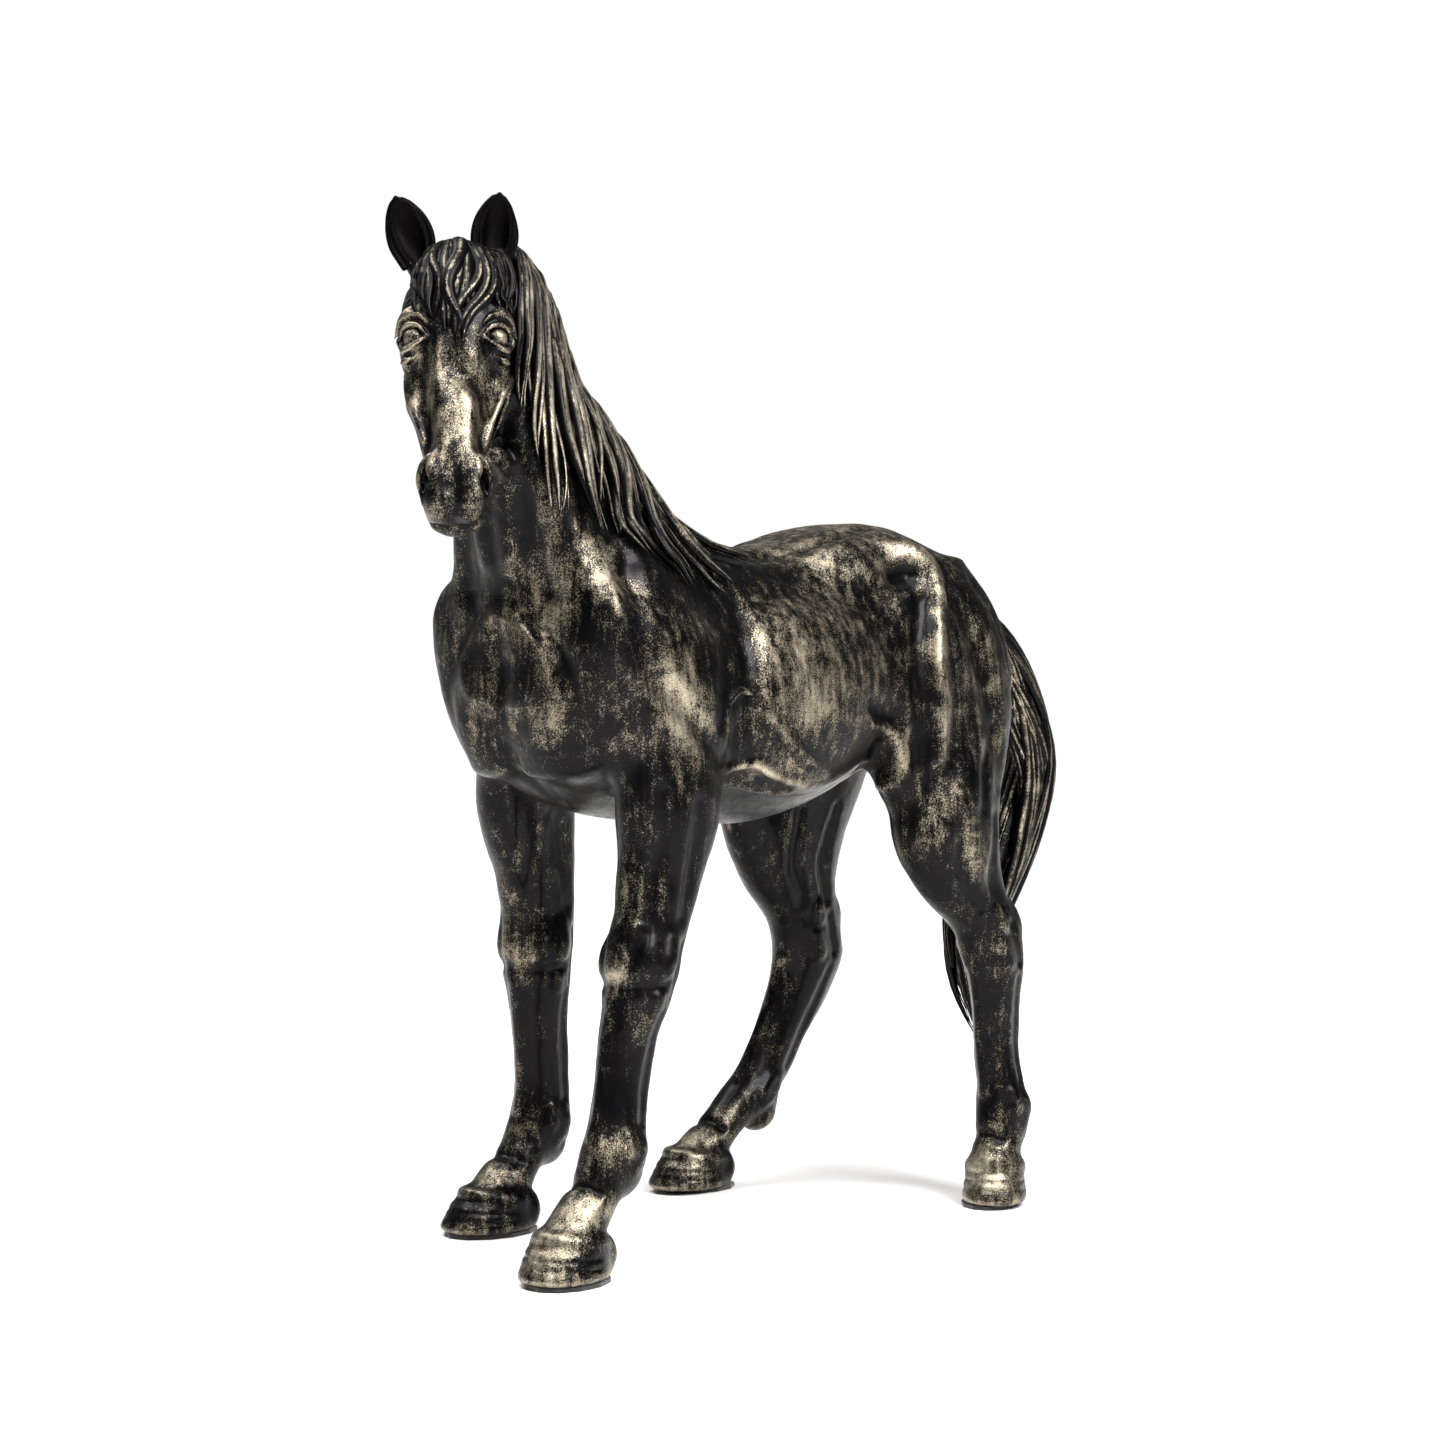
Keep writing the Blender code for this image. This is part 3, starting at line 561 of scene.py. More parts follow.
def legForms(name):
    fore, s = name.startswith("fore"), 1 if name.endswith("left") else -1
    forms = [stack(legs[name], 8, spare=8)]
    kz, kx, ky = knees[name]
    fz, fx, fy = fetlocks[name]
    ox, oy = legAxis(name, 134)
    forms.append(ellipsoid((fx, fy + 3.6, fz - 7), (5.6, 7.0, 6.0), (35, 0, 0), 5))  # back of the fetlock
    if fore:
        forms += [
            ellipsoid((ox + s * 2, oy + 1, 131), (7.6, 11, 16), (14, 0, 0), 6),  # forearm, outer
            ellipsoid((ox + s * 1, oy - 8, 128), (9, 8.5, 20), (10, 0, 0), 6),  # forearm, front
            ellipsoid((ox, oy + 6, 143), (7, 9, 9), (0, 0, 0), 5),  # elbow
            ellipsoid((kx, ky - 4.2, kz + 1), (7.6, 4.6, 9.5), (0, 0, 0), 7),  # knee
            ellipsoid((kx + s * 7.5, ky - 1, kz + 2), (2.8, 5, 6), (0, 0, 0), 4),
            ellipsoid((kx - s * 7.5, ky - 1, kz + 1), (2.8, 5, 6), (0, 0, 0), 4),
            ellipsoid((kx + s * 2.5, ky + 8.6, kz - 1), (3.2, 3.6, 5.5), (0, 0, 0), 3),  # pisiform bone
        ]
    else:
        forms += [
            ellipsoid((kx - s * 1, ky - 20.5, 125), (9.5, 11, 16), (-24, 0, 0), 6),  # stifle and gaskin
            ellipsoid((kx - s * 1, ky - 15, 112), (8.5, 10, 16), (-28, 0, 0), 6),
            ellipsoid((kx, ky + 6.4, kz + 4), (4.4, 5.0, 7.5), (16, 0, 0), 4),  # point of the hock
            ellipsoid((kx, ky - 6, kz - 2), (6, 4.6, 8), (0, 0, 0), 4),
        ]
    return forms


def legTooling(name):
    # Bones, tendons and the grooves between them, laid on the leg
    fore, s = name.startswith("fore"), 1 if name.endswith("left") else -1
    kz, kx, ky = knees[name]
    fz, fx, fy = fetlocks[name]

    def at(side, back, z):
        x, y = legAxis(name, z)
        return (x + side, y + back, z)

    forms = [
        strand([at(0, 9, kz - 9), at(0, 9, (kz + fz) / 2), at(0, 9, fz + 9), at(0, 10, fz)],
               (2.4, 2.2, 2.0, 2.2), 2.4, lift=-1.4),
        strand([at(0, -9, kz - 10), at(0, -9, (kz + fz) / 2), at(0, -10, fz + 5)], (1.4, 1.6, 1.4), 2.4,
               lift=-0.9),
        # ergot
        strand([at(0, 10, fz + 1), at(0, 11, fz - 3), at(0, 10, fz - 6)], (2.0, 2.8, 1.6), 2.2, lift=-0.6),
        strand([at(-7, -7, fz - 9), at(0, -10, fz - 7.5), at(7, -7, fz - 9)], 1.2, 2.4, cut=True, lift=0.6),
    ]
    for side in (1, -1):
        forms += [
            strand([at(side * 8, 3, kz - 13), at(side * 8, 3.4, (kz + fz) / 2 - 3),
                    at(side * 8, 3.4, fz + 8)], (1.0, 1.9, 1.2), 2.2, cut=True, lift=0.9),
            # sesamoid
            strand([at(side * 8, 3, fz + 4), at(side * 8, 4.5, fz), at(side * 7, 5, fz - 5)],
                   (1.6, 2.8, 1.6), 2.6, lift=-1.6),
            strand([at(side * 8, -2, fz + 5), at(side * 9, -2, fz + 1)], (1.4, 1.8), 2.6, lift=-0.9),
        ]
        if fore:
            forms += [
                strand([at(side * 11, 0, 132), at(side * 11, 2, 116), at(side * 10, 3, kz + 14)],
                       (1.2, 2.2, 1.2), 3.6, cut=True, lift=1.2),
                strand([at(side * 8, -12, 136), at(side * 8, -10, 118), at(side * 6, -9, kz + 14)],
                       (1.0, 1.8, 1.0), 3.2, cut=True, lift=1.0),
                strand([at(side * 10, 0, kz + 8), at(side * 11, 0, kz + 3), at(side * 10, -1, kz - 2)],
                       (1.4, 2.0, 1.4), 3.0, lift=-0.8),
                strand([at(side * 10, -1, kz - 7), at(side * 10, -1, kz - 11)], (1.6, 1.4), 2.4, lift=-0.8),
                strand([at(side * 10, 0, kz - 4.5), at(side * 6, -9, kz - 4.6), at(0, -11, kz - 4.4)],
                       (0.7, 1.0, 0.8), 3.0, cut=True, lift=0.8),
                strand([at(side * 6, -9, kz + 10), at(side * 5.4, -10, kz + 2), at(side * 5, -9, kz - 6)],
                       (0.8, 1.2, 0.8), 2.6, cut=True, lift=0.7),
                strand([at(side * 8, 6, kz + 6), at(side * 8, 6, kz - 2), at(side * 7, 5, kz - 9)],
                       (1.0, 1.6, 1.0), 2.4, cut=True, lift=0.7),
            ]
        else:
            forms += [
                strand([at(side * 11, 10, 122), at(side * 9, 6, 106), at(side * 8, 5, kz + 10)],
                       (1.4, 2.8, 1.8), 3.4, cut=True, lift=1.4),
                strand([at(side * 9, -8, 122), at(side * 8, -8, 106), at(side * 7, -6, kz + 10)],
                       (1.2, 2.0, 1.2), 3.4, cut=True, lift=1.2),
                strand([at(side * 8, -4, kz - 2), at(side * 8, -3, kz - 8)], (2.2, 2.2), 2.6, lift=-1.2),
                strand([at(side * 8, 4, kz + 4), at(side * 8, 4, kz - 8)], (1.2, 1.4), 2.4, cut=True,
                       lift=0.7),
                strand([at(side * 8, 0, kz + 8), at(side * 8, -1, kz + 4)], (1.8, 2.0), 2.6, lift=-1.0),
            ]
    return forms


def hoofForms(name):
    x, y, coronet, halfWidth, halfLength, out = hooves[name]
    s = 1 if x > 0 else -1
    heading = math.radians(out) * s
    place = (np.array([x, y, 0.0]),
             np.array([[math.cos(heading), math.sin(heading), 0],
                       [-math.sin(heading), math.cos(heading), 0], [0, 0, 1]]))
    sole = padTop + 0.25
    rows = [(sole, 0, 0.2, halfWidth * 0.92, halfLength * 0.93),
            (sole + 1.4, 0, 0.1, halfWidth * 1.0, halfLength * 0.995),
            (coronet * 0.45, 0, 0.7, halfWidth * 0.97, halfLength * 0.95),
            (coronet * 0.75, 0, 1.6, halfWidth * 0.91, halfLength * 0.87),
            (coronet - 1.4, 0, 2.4, halfWidth * 0.85, halfLength * 0.80)]
    wall = stack(rows, 2.0, place, power=2.15, spare=4)
    t = np.linspace(0, 2 * math.pi, 17)
    ring = [(halfWidth * 0.72 * math.cos(a), 3.2 + halfLength * 0.68 * math.sin(a),
             coronet - 1.0 - 1.8 * math.sin(a)) for a in t]
    band = strand(ring, 1.9, 2.6, place=place, steps=2)
    bulbs = [ellipsoid((side * halfWidth * 0.42, 2.0 + halfLength * 0.60, coronet * 0.58),
                       (halfWidth * 0.42, 3.2, coronet * 0.38), blend=2.5, place=place)
             for side in (1, -1)]
    pastern = ellipsoid((0, 3.6, coronet - 0.5), (halfWidth * 0.70, halfLength * 0.60, 3.6), blend=3,
                        place=place)
    cleft = strand([(0, 3.4 + halfLength * 0.92, coronet * 0.85),
                    (0, 3.4 + halfLength * 0.92, coronet * 0.3)], 0.8, 1.5, cut=True, place=place)
    growth = []
    for height in (0.30, 0.52):  # growth rings of the horn
        wide, long = halfWidth * (0.985 - 0.10 * height), halfLength * (0.985 - 0.12 * height)
        arc = [(wide * math.cos(a), 1.4 + long * math.sin(a),
                coronet * height + 1.2 - 0.6 * math.sin(a)) for a in np.linspace(math.pi, 2 * math.pi, 9)]
        growth.append(strand(arc, 0.12, 1.0, cut=True, place=place, steps=2))
    return [wall, pastern, band, *bulbs, cleft, *growth]


print("forms")
mass = trunkForms() + neckForms() + headForms()
for name in legs:
    mass += legForms(name)
rough = fillField(mass, (-64, -150, -4), (64, 140, 300), 1.5)
details = trunkTooling() + neckTooling() + headTooling()
for name in legs:
    details += legTooling(name) + hoofForms(name)
horseForms = mass + details


# Where the foundry rubbed gold back over the dark patina: centre, radii, strength (mm, pattern frame)
gilding = [
    ((44, 10, 162), (14, 20, 18), 0.62), ((42, 4, 178), (14, 16, 10), 0.28),
    ((38, 30, 184), (16, 18, 16), 0.60), ((36, -16, 188), (12, 10, 12), 0.35),
    ((44, -50, 165), (8, 7, 12), 0.95), ((45, -45, 152), (8, 7, 9), 0.80),
    ((45, -50, 141), (7, 6, 12), 0.40), ((30, -67, 199), (8, 7, 13), 0.80),
    ((17, -76, 190), (9, 8, 14), 0.50), ((30, -60, 186), (9, 8, 8), 0.45),
    ((8, -82, 180), (12, 8, 10), 0.30), ((4, -78, 158), (14, 8, 12), 0.25),
    ((12, 42, 206), (26, 44, 12), 0.26), ((42, 86, 158), (16, 22, 34), 0.20),
    ((30, 66, 206), (8, 9, 5), 0.62), ((39, 71, 196), (6, 5, 9), 0.75),
    ((44, 66, 178), (4.5, 4, 13), 0.60), ((47, 65, 156), (5, 5, 13), 0.45),
    ((38, 50, 146), (8, 7, 7), 0.60), ((46, 66, 128), (8, 10, 14), 0.45),
    ((48, 78, 108), (8, 9, 10), 0.45), ((38, -10, 139), (7, 14, 4), 0.95),
    ((36, 8, 136), (8, 12, 5), 0.60), ((12, 66, 214), (20, 30, 9), 0.60),
    ((8, 20, 208), (18, 26, 8), 0.40), ((48, 86, 160), (6, 10, 16), 0.35),
    ((33, -66, 84), (8, 6, 9), 0.70), ((-36, -40, 84), (9, 7, 10), 0.60),
    ((38, -73, 35), (6, 8, 7), 0.70), ((-36, -40, 31), (9, 9, 8), 0.50),
    ((34, -98, 12), (10, 8, 9), 0.85), ((36, -84, 20), (11, 11, 4), 0.75),
    ((-42, 44, 15), (13, 12, 6), 0.75), ((48, 78, 11), (9, 7, 10), 0.95),
    ((-36, -52, 18), (12, 10, 4), 0.55), ((30, -62, 60), (5, 5, 26), 0.50),
    ((-40, 82, 60), (7, 9, 26), 0.50), ((45, 90, 84), (7, 8, 10), 0.65), ((46, 92, 50), (6, 6, 24), 0.30),
    ((-30, 74, 118), (12, 12, 16), 0.40), ((-34, -42, 118), (9, 8, 22), 0.40),
    ((34, -62, 112), (9, 6, 20), 0.35), ((-44, 10, 166), (14, 24, 18), 0.65),
    ((-43, -50, 163), (8, 8, 14), 0.80), ((-42, 66, 180), (6, 7, 16), 0.80),
    ((-47, 76, 150), (8, 12, 20), 0.45), ((-28, -68, 200), (9, 8, 16), 0.65),
    ((0, 116, 190), (16, 8, 12), 0.40), ((-12, 60, 213), (16, 24, 6), 0.45),
]
# The same in the head's frame (across, up, reach from the poll), with two painted highlights among the
# gold: a glint on the left eye and sheen on the left cheek
headGildAndPaintedHighlights = [
    # The patch at 11, -6, 50, on the left cheek beside the bridge, is painted sheen
    ((-4, 0, 44), (14, 10, 21), 0.42), ((11, -6, 50), (5, 6, 14), 0.30), ((-2, -1, 61), (8, 8, 13), 0.42),
    ((13, 1, 25), (3.0, 3, 3), 0.15), ((-12, 2, 26), (4.0, 4, 4), 0.20),
    # The strong small patch on the left eyeball is a painted glint
    ((12.9, 0.9, 31.5), (1.8, 1.8, 2.2), 0.95), ((13, -10, 42), (3, 3, 9), 0.25),
    ((-11, -5, 46), (5, 7, 16), 0.55), ((13, -20, 20), (4, 9, 12), 0.25), ((0, 5, 6), (12, 4, 7), 0.40),
    ((6.5, -2, 69), (3, 3, 4), 0.50),
]
headDark = [((0, -13, 82), (12, 11, 8), 0.9), ((10.5, -6, 50), (3, 5, 14), 0.3),
            ((0, 4, 22), (8, 4, 6), 0.4)]
# Less gold along the legs between the hooves and the body: height, how much less gold
legDark = ((0, 0.0), (16, 0.0), (28, 0.18), (60, 0.30), (120, 0.26), (150, 0.0))


def spread(points, patches, place=bodyPlace):
    # How much of the patches reaches each point, 0 to 1
    bare = np.ones(len(points))
    for centre, radii, strength in patches:
        here = (points - toWorld(place, [centre])[0]) @ np.asarray(place[1]).T
        bare *= 1 - strength * np.exp(-((here / radii) ** 2).sum(1))
    return 1 - bare


def smoothed(points, edges, turns):
    # Average of the neighbours, repeated
    count = np.bincount(edges.ravel(), minlength=len(points)).clip(1)
    made = points.copy()
    for _ in range(turns):
        total = np.zeros_like(made)
        for k in range(3):
            total[:, k] = (np.bincount(edges[:, 0], made[edges[:, 1], k], len(made))
                           + np.bincount(edges[:, 1], made[edges[:, 0], k], len(made)))
        made = 0.5 * made + 0.5 * total / count[:, None]
    return made


unevenness = {"depth": 0.16, "grain": 6.5, "fineDepth": 0.05, "fineGrain": 2.2, "seed": 11}


def handworked(points, normals):
    # Wax worked by hand is never quite smooth: a slow unevenness and a finer one on it
    start = Vector((unevenness["seed"], 0, 0))
    pushed = [
        unevenness["depth"] * noise.noise(Vector(p / unevenness["grain"]) + start)
        + unevenness["fineDepth"] * noise.noise(Vector(p / unevenness["fineGrain"]))
        for p in points
    ]
    return points + normals * np.array(pushed)[:, None]


def facesOf(points, quads):
    a, b, c, d = (points[quads[:, k]] for k in range(4))
    return np.cross(c - a, d - b)


def pointNormals(points, quads):
    crossed = facesOf(points, quads)
    total = np.zeros_like(points)
    for corner in range(4):
        for k in range(3):
            total[:, k] += np.bincount(quads[:, corner], crossed[:, k], len(points))
    return total / np.maximum(np.linalg.norm(total, axis=1), 1e-9)[:, None]


def biggest(points, quads):
    # Keeps the largest connected body
    label = np.arange(len(points))
    while True:
        low = label[quads].min(1)
        new = label.copy()
        for corner in range(4):
            np.minimum.at(new, quads[:, corner], low)
        new = new[new]
        if (new == label).all():
            break
        label = new
    names, counts = np.unique(label[quads[:, 0]], return_counts=True)
    quads = quads[label[quads[:, 0]] == names[counts.argmax()]]
    used = np.unique(quads)
    lookup = np.full(len(points), -1)
    lookup[used] = np.arange(len(used))
    return points[used], lookup[quads]


def putAttribute(mesh, name, values, kind="FLOAT"):
    layer = mesh.attributes.new(name, kind, "POINT")
    layer.data.foreach_set("vector" if kind == "FLOAT_VECTOR" else "value",
                           np.ascontiguousarray(values, np.float32).ravel())


def skinMesh(name, points, quads):
    points = handworked(points, pointNormals(points, quads))
    normals = pointNormals(points, quads)
    edges = np.vstack([quads[:, (0, 1)], quads[:, (1, 2)], quads[:, (2, 3)], quads[:, (3, 0)]])
    span = np.linalg.norm(points[quads[:, 0]] - points[quads[:, 1]], axis=1).mean()
    near = smoothed(points, edges, max(2, round(1.5 / span**2)))  # about 1 mm around
    far = smoothed(near, edges, min(60, round(18 / span**2)))  # about 4 mm around
    mesh = bpy.data.meshes.new(name)
    mesh.from_pydata(((points + patternShift) * mm).tolist(), [], quads.tolist())
    putAttribute(mesh, "surfaceNormal", normals, "FLOAT_VECTOR")
    putAttribute(mesh, "edge", ((points - near) * normals).sum(1))
    putAttribute(mesh, "swell", ((near - far) * normals).sum(1))
    gold = spread(points, gilding)
    # The head patches bring in a painted glint on the left eye and painted sheen on the left cheek
    gold = 1 - (1 - gold) * (1 - spread(points, headGildAndPaintedHighlights, headPlace))
    gold = gold * (1 - spread(points, headDark, headPlace))
    heights, dark = zip(*legDark)
    putAttribute(mesh, "gildAndHighlight", gold - np.interp(points[:, 2], heights, dark))
    return mesh


def cutMesh(mesh, planes):
    # Cuts along the seams of the casting; each plane is point, normal of the waste side, test for the faces
    # it may cut
    bm = bmesh.new()
    bm.from_mesh(mesh)
    caps = bm.faces.layers.int.new("cap")
    for point, normal, test in planes:
        place, waste = Vector((np.array(point) + patternShift) * mm), Vector(normal).normalized()
        faces = [f for f in bm.faces
                 if test is None or test(f.calc_center_median() / mm - Vector(patternShift))]
        parts = set(faces) | {e for f in faces for e in f.edges} | {v for f in faces for v in f.verts}
        made = bmesh.ops.bisect_plane(bm, geom=list(parts), dist=1e-7, plane_co=place, plane_no=waste,
                                      clear_outer=True)
        rim = [e for e in made["geom_cut"]
               if isinstance(e, bmesh.types.BMEdge) and e.is_valid and e.is_boundary]
        filled = bmesh.ops.triangle_fill(bm, edges=rim, use_beauty=False)
        for face in filled["geom"]:
            if isinstance(face, bmesh.types.BMFace):
                face[caps] = 1
                face.normal_update()
                if face.normal.dot(waste) < 0:
                    face.normal_flip()
    bm.to_mesh(mesh)
    bm.free()
    return mesh


def settleNormals(mesh):
    # Both sides of a seam keep the whole skin's normals, so a chased seam doesn't show
    normals = np.empty(len(mesh.vertices) * 3, np.float32)
    mesh.attributes["surfaceNormal"].data.foreach_get("vector", normals)
    normals = normals.reshape(-1, 3)
    corner = np.empty(len(mesh.loops), np.int32)
    mesh.loops.foreach_get("vertex_index", corner)
    sizes = np.empty(len(mesh.polygons), np.int32)
    mesh.polygons.foreach_get("loop_total", sizes)
    flat = np.empty(len(mesh.polygons) * 3, np.float32)
    mesh.polygons.foreach_get("normal", flat)
    loops = normals[corner]
    if "cap" in mesh.attributes:
        cap = np.empty(len(mesh.polygons), np.int32)
        mesh.attributes["cap"].data.foreach_get("value", cap)
        isCap = np.repeat(cap, sizes) == 1
        loops[isCap] = np.repeat(flat.reshape(-1, 3), sizes, axis=0)[isCap]
        mesh.attributes.remove(mesh.attributes["cap"])
    mesh.attributes.remove(mesh.attributes["surfaceNormal"])
    mesh.shade_smooth()
    mesh.normals_split_custom_set(loops.tolist())


neckSeam = ((0, -45, 196), (0, -0.46, 0.89))
headSeam = ((0, -60, 237), (0, -0.60, 0.80))


def turnedRound(seam):
    return seam[0], tuple(-a for a in seam[1])


sections = {
    # low corner, high corner, grid step, seams
    "barrel": ((-58, -108, 117), (58, 140, 232), 0.95,
               [(*neckSeam, None), ((0, 0, foreCut), (0, 0, -1), lambda p: p.y < -4 and p.z < foreCut + 4),
                ((0, 0, hindCut), (0, 0, -1), lambda p: p.y > 31 and p.z < hindCut + 4)]),
    "neck": ((-42, -112, 172), (42, -8, 296), 0.6, [(*turnedRound(neckSeam), None), (*headSeam, None)]),
    "head": ((-32, -148, 192), (48, -30, 304), 0.47, [(*turnedRound(headSeam), None)]),
    "foreleg_left": ((4, -108, -1), (62, -8, foreCut + 3), 0.6, [((0, 0, foreCut), (0, 0, 1), None)]),
    "foreleg_right": ((-62, -108, -1), (-4, -4, foreCut + 3), 0.6, [((0, 0, foreCut), (0, 0, 1), None)]),
    "hindleg_left": ((4, 32, -1), (66, 136, hindCut + 3), 0.6, [((0, 0, hindCut), (0, 0, 1), None)]),
    "hindleg_right": ((-66, 26, -1), (-4, 136, hindCut + 3), 0.6, [((0, 0, hindCut), (0, 0, 1), None)]),
}


def addPiece(name, mesh, material, nodes):
    obj = bpy.data.objects.new(name, mesh)
    bpy.context.scene.collection.objects.link(obj)
    mesh.materials.clear()
    mesh.materials.append(material)
    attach(obj, "root")
    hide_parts(*nodes)
    return obj


def toLinear(code):
    parts = [int(code[i : i + 2], 16) / 255 for i in (1, 3, 5)]
    return tuple(c / 12.92 if c <= 0.04045 else ((c + 0.055) / 1.055) ** 2.4 for c in parts) + (1.0,)


def addNode(tree, kind, settings=None, **inputs):
    # Adds a node, sets its properties and fills its inputs; a socket as value makes a link. in0, in1 … name
    # by number
    node = tree.nodes.new(kind)
    for key, value in (settings or {}).items():
        setattr(node, key, value)
    for key, value in inputs.items():
        socket = node.inputs[int(key[2:])] if key[2:].isdigit() else node.inputs[key.replace("_", " ")]
        if isinstance(value, bpy.types.NodeSocket):
            tree.links.new(value, socket)
        else:
            socket.default_value = value
    return node


def newMaterial(name, **shader):
    material = bpy.data.materials.new(name)
    material.use_nodes = True
    principled = material.node_tree.nodes["Principled BSDF"]
    for key, value in shader.items():
        principled.inputs[key.replace("_", " ")].default_value = value
    return material, material.node_tree, principled


patina = {
    "dark": "#08080d", "warmDark": "#100d0a", "gold": "#8c8270", "brightGold": "#ddd5c3",
    "cloudSize": 19.0, "streakSize": 2.6, "speckSize": 0.40, "streakStretch": 0.14,
    "bareLevel": 0.36, "bareSpread": 0.26, "metallic": 0.94, "roughness": 0.40, "coat": 0.08,
    "coatRoughness": 0.18,
}


def rubbedBronze(name, values, gildGain=0.60, edgeGain=0.8, swellGain=0.22):
    # Antique bronze: a cast metal under a near-black liver-of-sulphur patina, waxed, with a dry brush of
    # gold paint
    # rubbed over it. The eye gets a dark satin body, gold on everything that stands proud, and grain in the
    # gold.
    material, tree, principled = newMaterial(
        name, Metallic=values["metallic"], Coat_Weight=values["coat"],
        Coat_Roughness=values["coatRoughness"])
    where = addNode(tree, "ShaderNodeTexCoord").outputs["Object"]
    upright = addNode(tree, "ShaderNodeMapping", in0=where,
                      Scale=(1, 1, values["streakStretch"])).outputs[0]
    signals = {}
    for label, size, source, detail, distortion in (
        ("cloud", values["cloudSize"], where, 4.0, 0.6),
        ("patch", values["cloudSize"] * 0.3, where, 3.0, 1.0),
        ("streak", values["streakSize"], upright, 4.0, 0.0),
        ("speck", values["speckSize"], where, 2.0, 0.0),
    ):
        signals[label] = addNode(tree, "ShaderNodeTexNoise", Vector=source, Scale=1 / (size * mm),
                                 Detail=detail,
                                 Roughness=0.6, Distortion=distortion).outputs["Fac"]
    # The first attribute carries the gold patches and, on the head, a painted glint and painted sheen; the
    # other two carry the relief, and on the hair also painted shade near the skin
    for label in ("gildAndHighlight", "edge", "swell"):
        signals[label] = addNode(tree, "ShaderNodeAttribute", {"attribute_name": label}).outputs["Fac"]
    # How bare the gold lies: the sum of the signals, each about its middle and times its gain
    bare = 0.0
    for label, gain, middle in (
        ("gildAndHighlight", gildGain, 0.0), ("edge", edgeGain, 0.0), ("swell", swellGain, 0.0),
        ("cloud", 0.9, 0.5), ("patch", 0.8, 0.5), ("streak", 0.95, 0.5), ("speck", 1.5, 0.5),
    ):
        moved = addNode(tree, "ShaderNodeMath", {"operation": "MULTIPLY_ADD"}, in0=signals[label], in1=gain,
                        in2=-gain * middle).outputs[0]
        bare = addNode(tree, "ShaderNodeMath", {"operation": "ADD"}, in0=bare, in1=moved).outputs[0]
    low = values["bareLevel"] - values["bareSpread"]
    high = values["bareLevel"] + values["bareSpread"]
    gold, bright = (
        addNode(tree, "ShaderNodeMapRange", {"interpolation_type": "SMOOTHSTEP"}, Value=bare,
                From_Min=start,
                From_Max=end).outputs["Result"]
        for start, end in ((low, high), (high - 0.1, high + 0.7))
    )
    body = addNode(tree, "ShaderNodeMix", {"data_type": "RGBA"}, Factor=signals["cloud"],
                   in6=toLinear(values["dark"]), in7=toLinear(values["warmDark"])).outputs[2]
    paint = addNode(tree, "ShaderNodeMix", {"data_type": "RGBA"}, Factor=bright,
                    in6=toLinear(values["gold"]), in7=toLinear(values["brightGold"])).outputs[2]
    colour = addNode(tree, "ShaderNodeMix", {"data_type": "RGBA"}, Factor=gold, in6=body,
                     in7=paint).outputs[2]
    tree.links.new(colour, principled.inputs["Base Color"])
    satin = addNode(tree, "ShaderNodeMapRange", Value=signals["streak"], From_Min=0.3, From_Max=0.7,
                    To_Min=values["roughness"] - 0.10, To_Max=values["roughness"] + 0.12).outputs["Result"]
    tree.links.new(satin, principled.inputs["Roughness"])
    grit = addNode(tree, "ShaderNodeMath", {"operation": "MULTIPLY"}, in0=signals["speck"],
                   in1=0.5).outputs[0]
    height = addNode(tree, "ShaderNodeMath", {"operation": "MULTIPLY_ADD"}, in0=signals["streak"], in1=0.6,
                     in2=grit).outputs[0]
    bump = addNode(tree, "ShaderNodeBump", Height=height, Strength=0.55, Distance=0.22 * mm).outputs[0]
    tree.links.new(bump, principled.inputs["Normal"])
    return material


print("materials")
bronzeSkin = rubbedBronze("patinated_antique_bronze", patina)
hairPatina = {**patina, "cloudSize": 9.0, "bareLevel": 0.42}
bronzeHair = rubbedBronze("patinated_antique_bronze_hair", hairPatina, edgeGain=1.1, swellGain=0.06)
earPatina = {**patina, "bareLevel": 0.78, "coat": 0.0, "roughness": 0.5, "metallic": 1.0}
bronzeEar = rubbedBronze("patinated_antique_bronze_ears", earPatina)

coarser = 1.0
pieces = {}
for name, (low, high, size, seams) in sections.items():
    mesh = skinMesh(name + "_skin", *biggest(*skinOf(*fillField(horseForms, low, high, size * coarser))))
    cutMesh(mesh, seams)
    settleNormals(mesh)
    # The plugs of the core pins are chased flush, so the skin of the barrel covers them
    plugs = [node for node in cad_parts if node.startswith("core_plug")] if name == "barrel" else []
    pieces[name] = addPiece(name + "_skin", mesh, bronzeSkin, [name] + plugs)
    print("section", name, len(mesh.polygons))

ear = {
    # height, across, forward, half width, half depth of the shell; degrees each ear leans out and is
    # turned; its seat in the head's frame
    "rows": [(-5, 0, 0, 3.4, 3.0), (0, 0, 0, 4.2, 3.6), (4, 0, 0, 5.0, 4.0), (9, 0, 0.2, 5.6, 4.0),
             (13.5, 0, 0.6, 5.1, 3.3), (17.3, 0, 1.4, 3.9, 2.2), (19.8, 0, 2.1, 2.0, 1.1)],
    "lean": {"ear_left": 6, "ear_right": 20}, "turn": {"ear_left": 14, "ear_right": -10},
    "seat": {"ear_left": (9.5, -4, 6), "ear_right": (-9.5, -4, 6)},
}


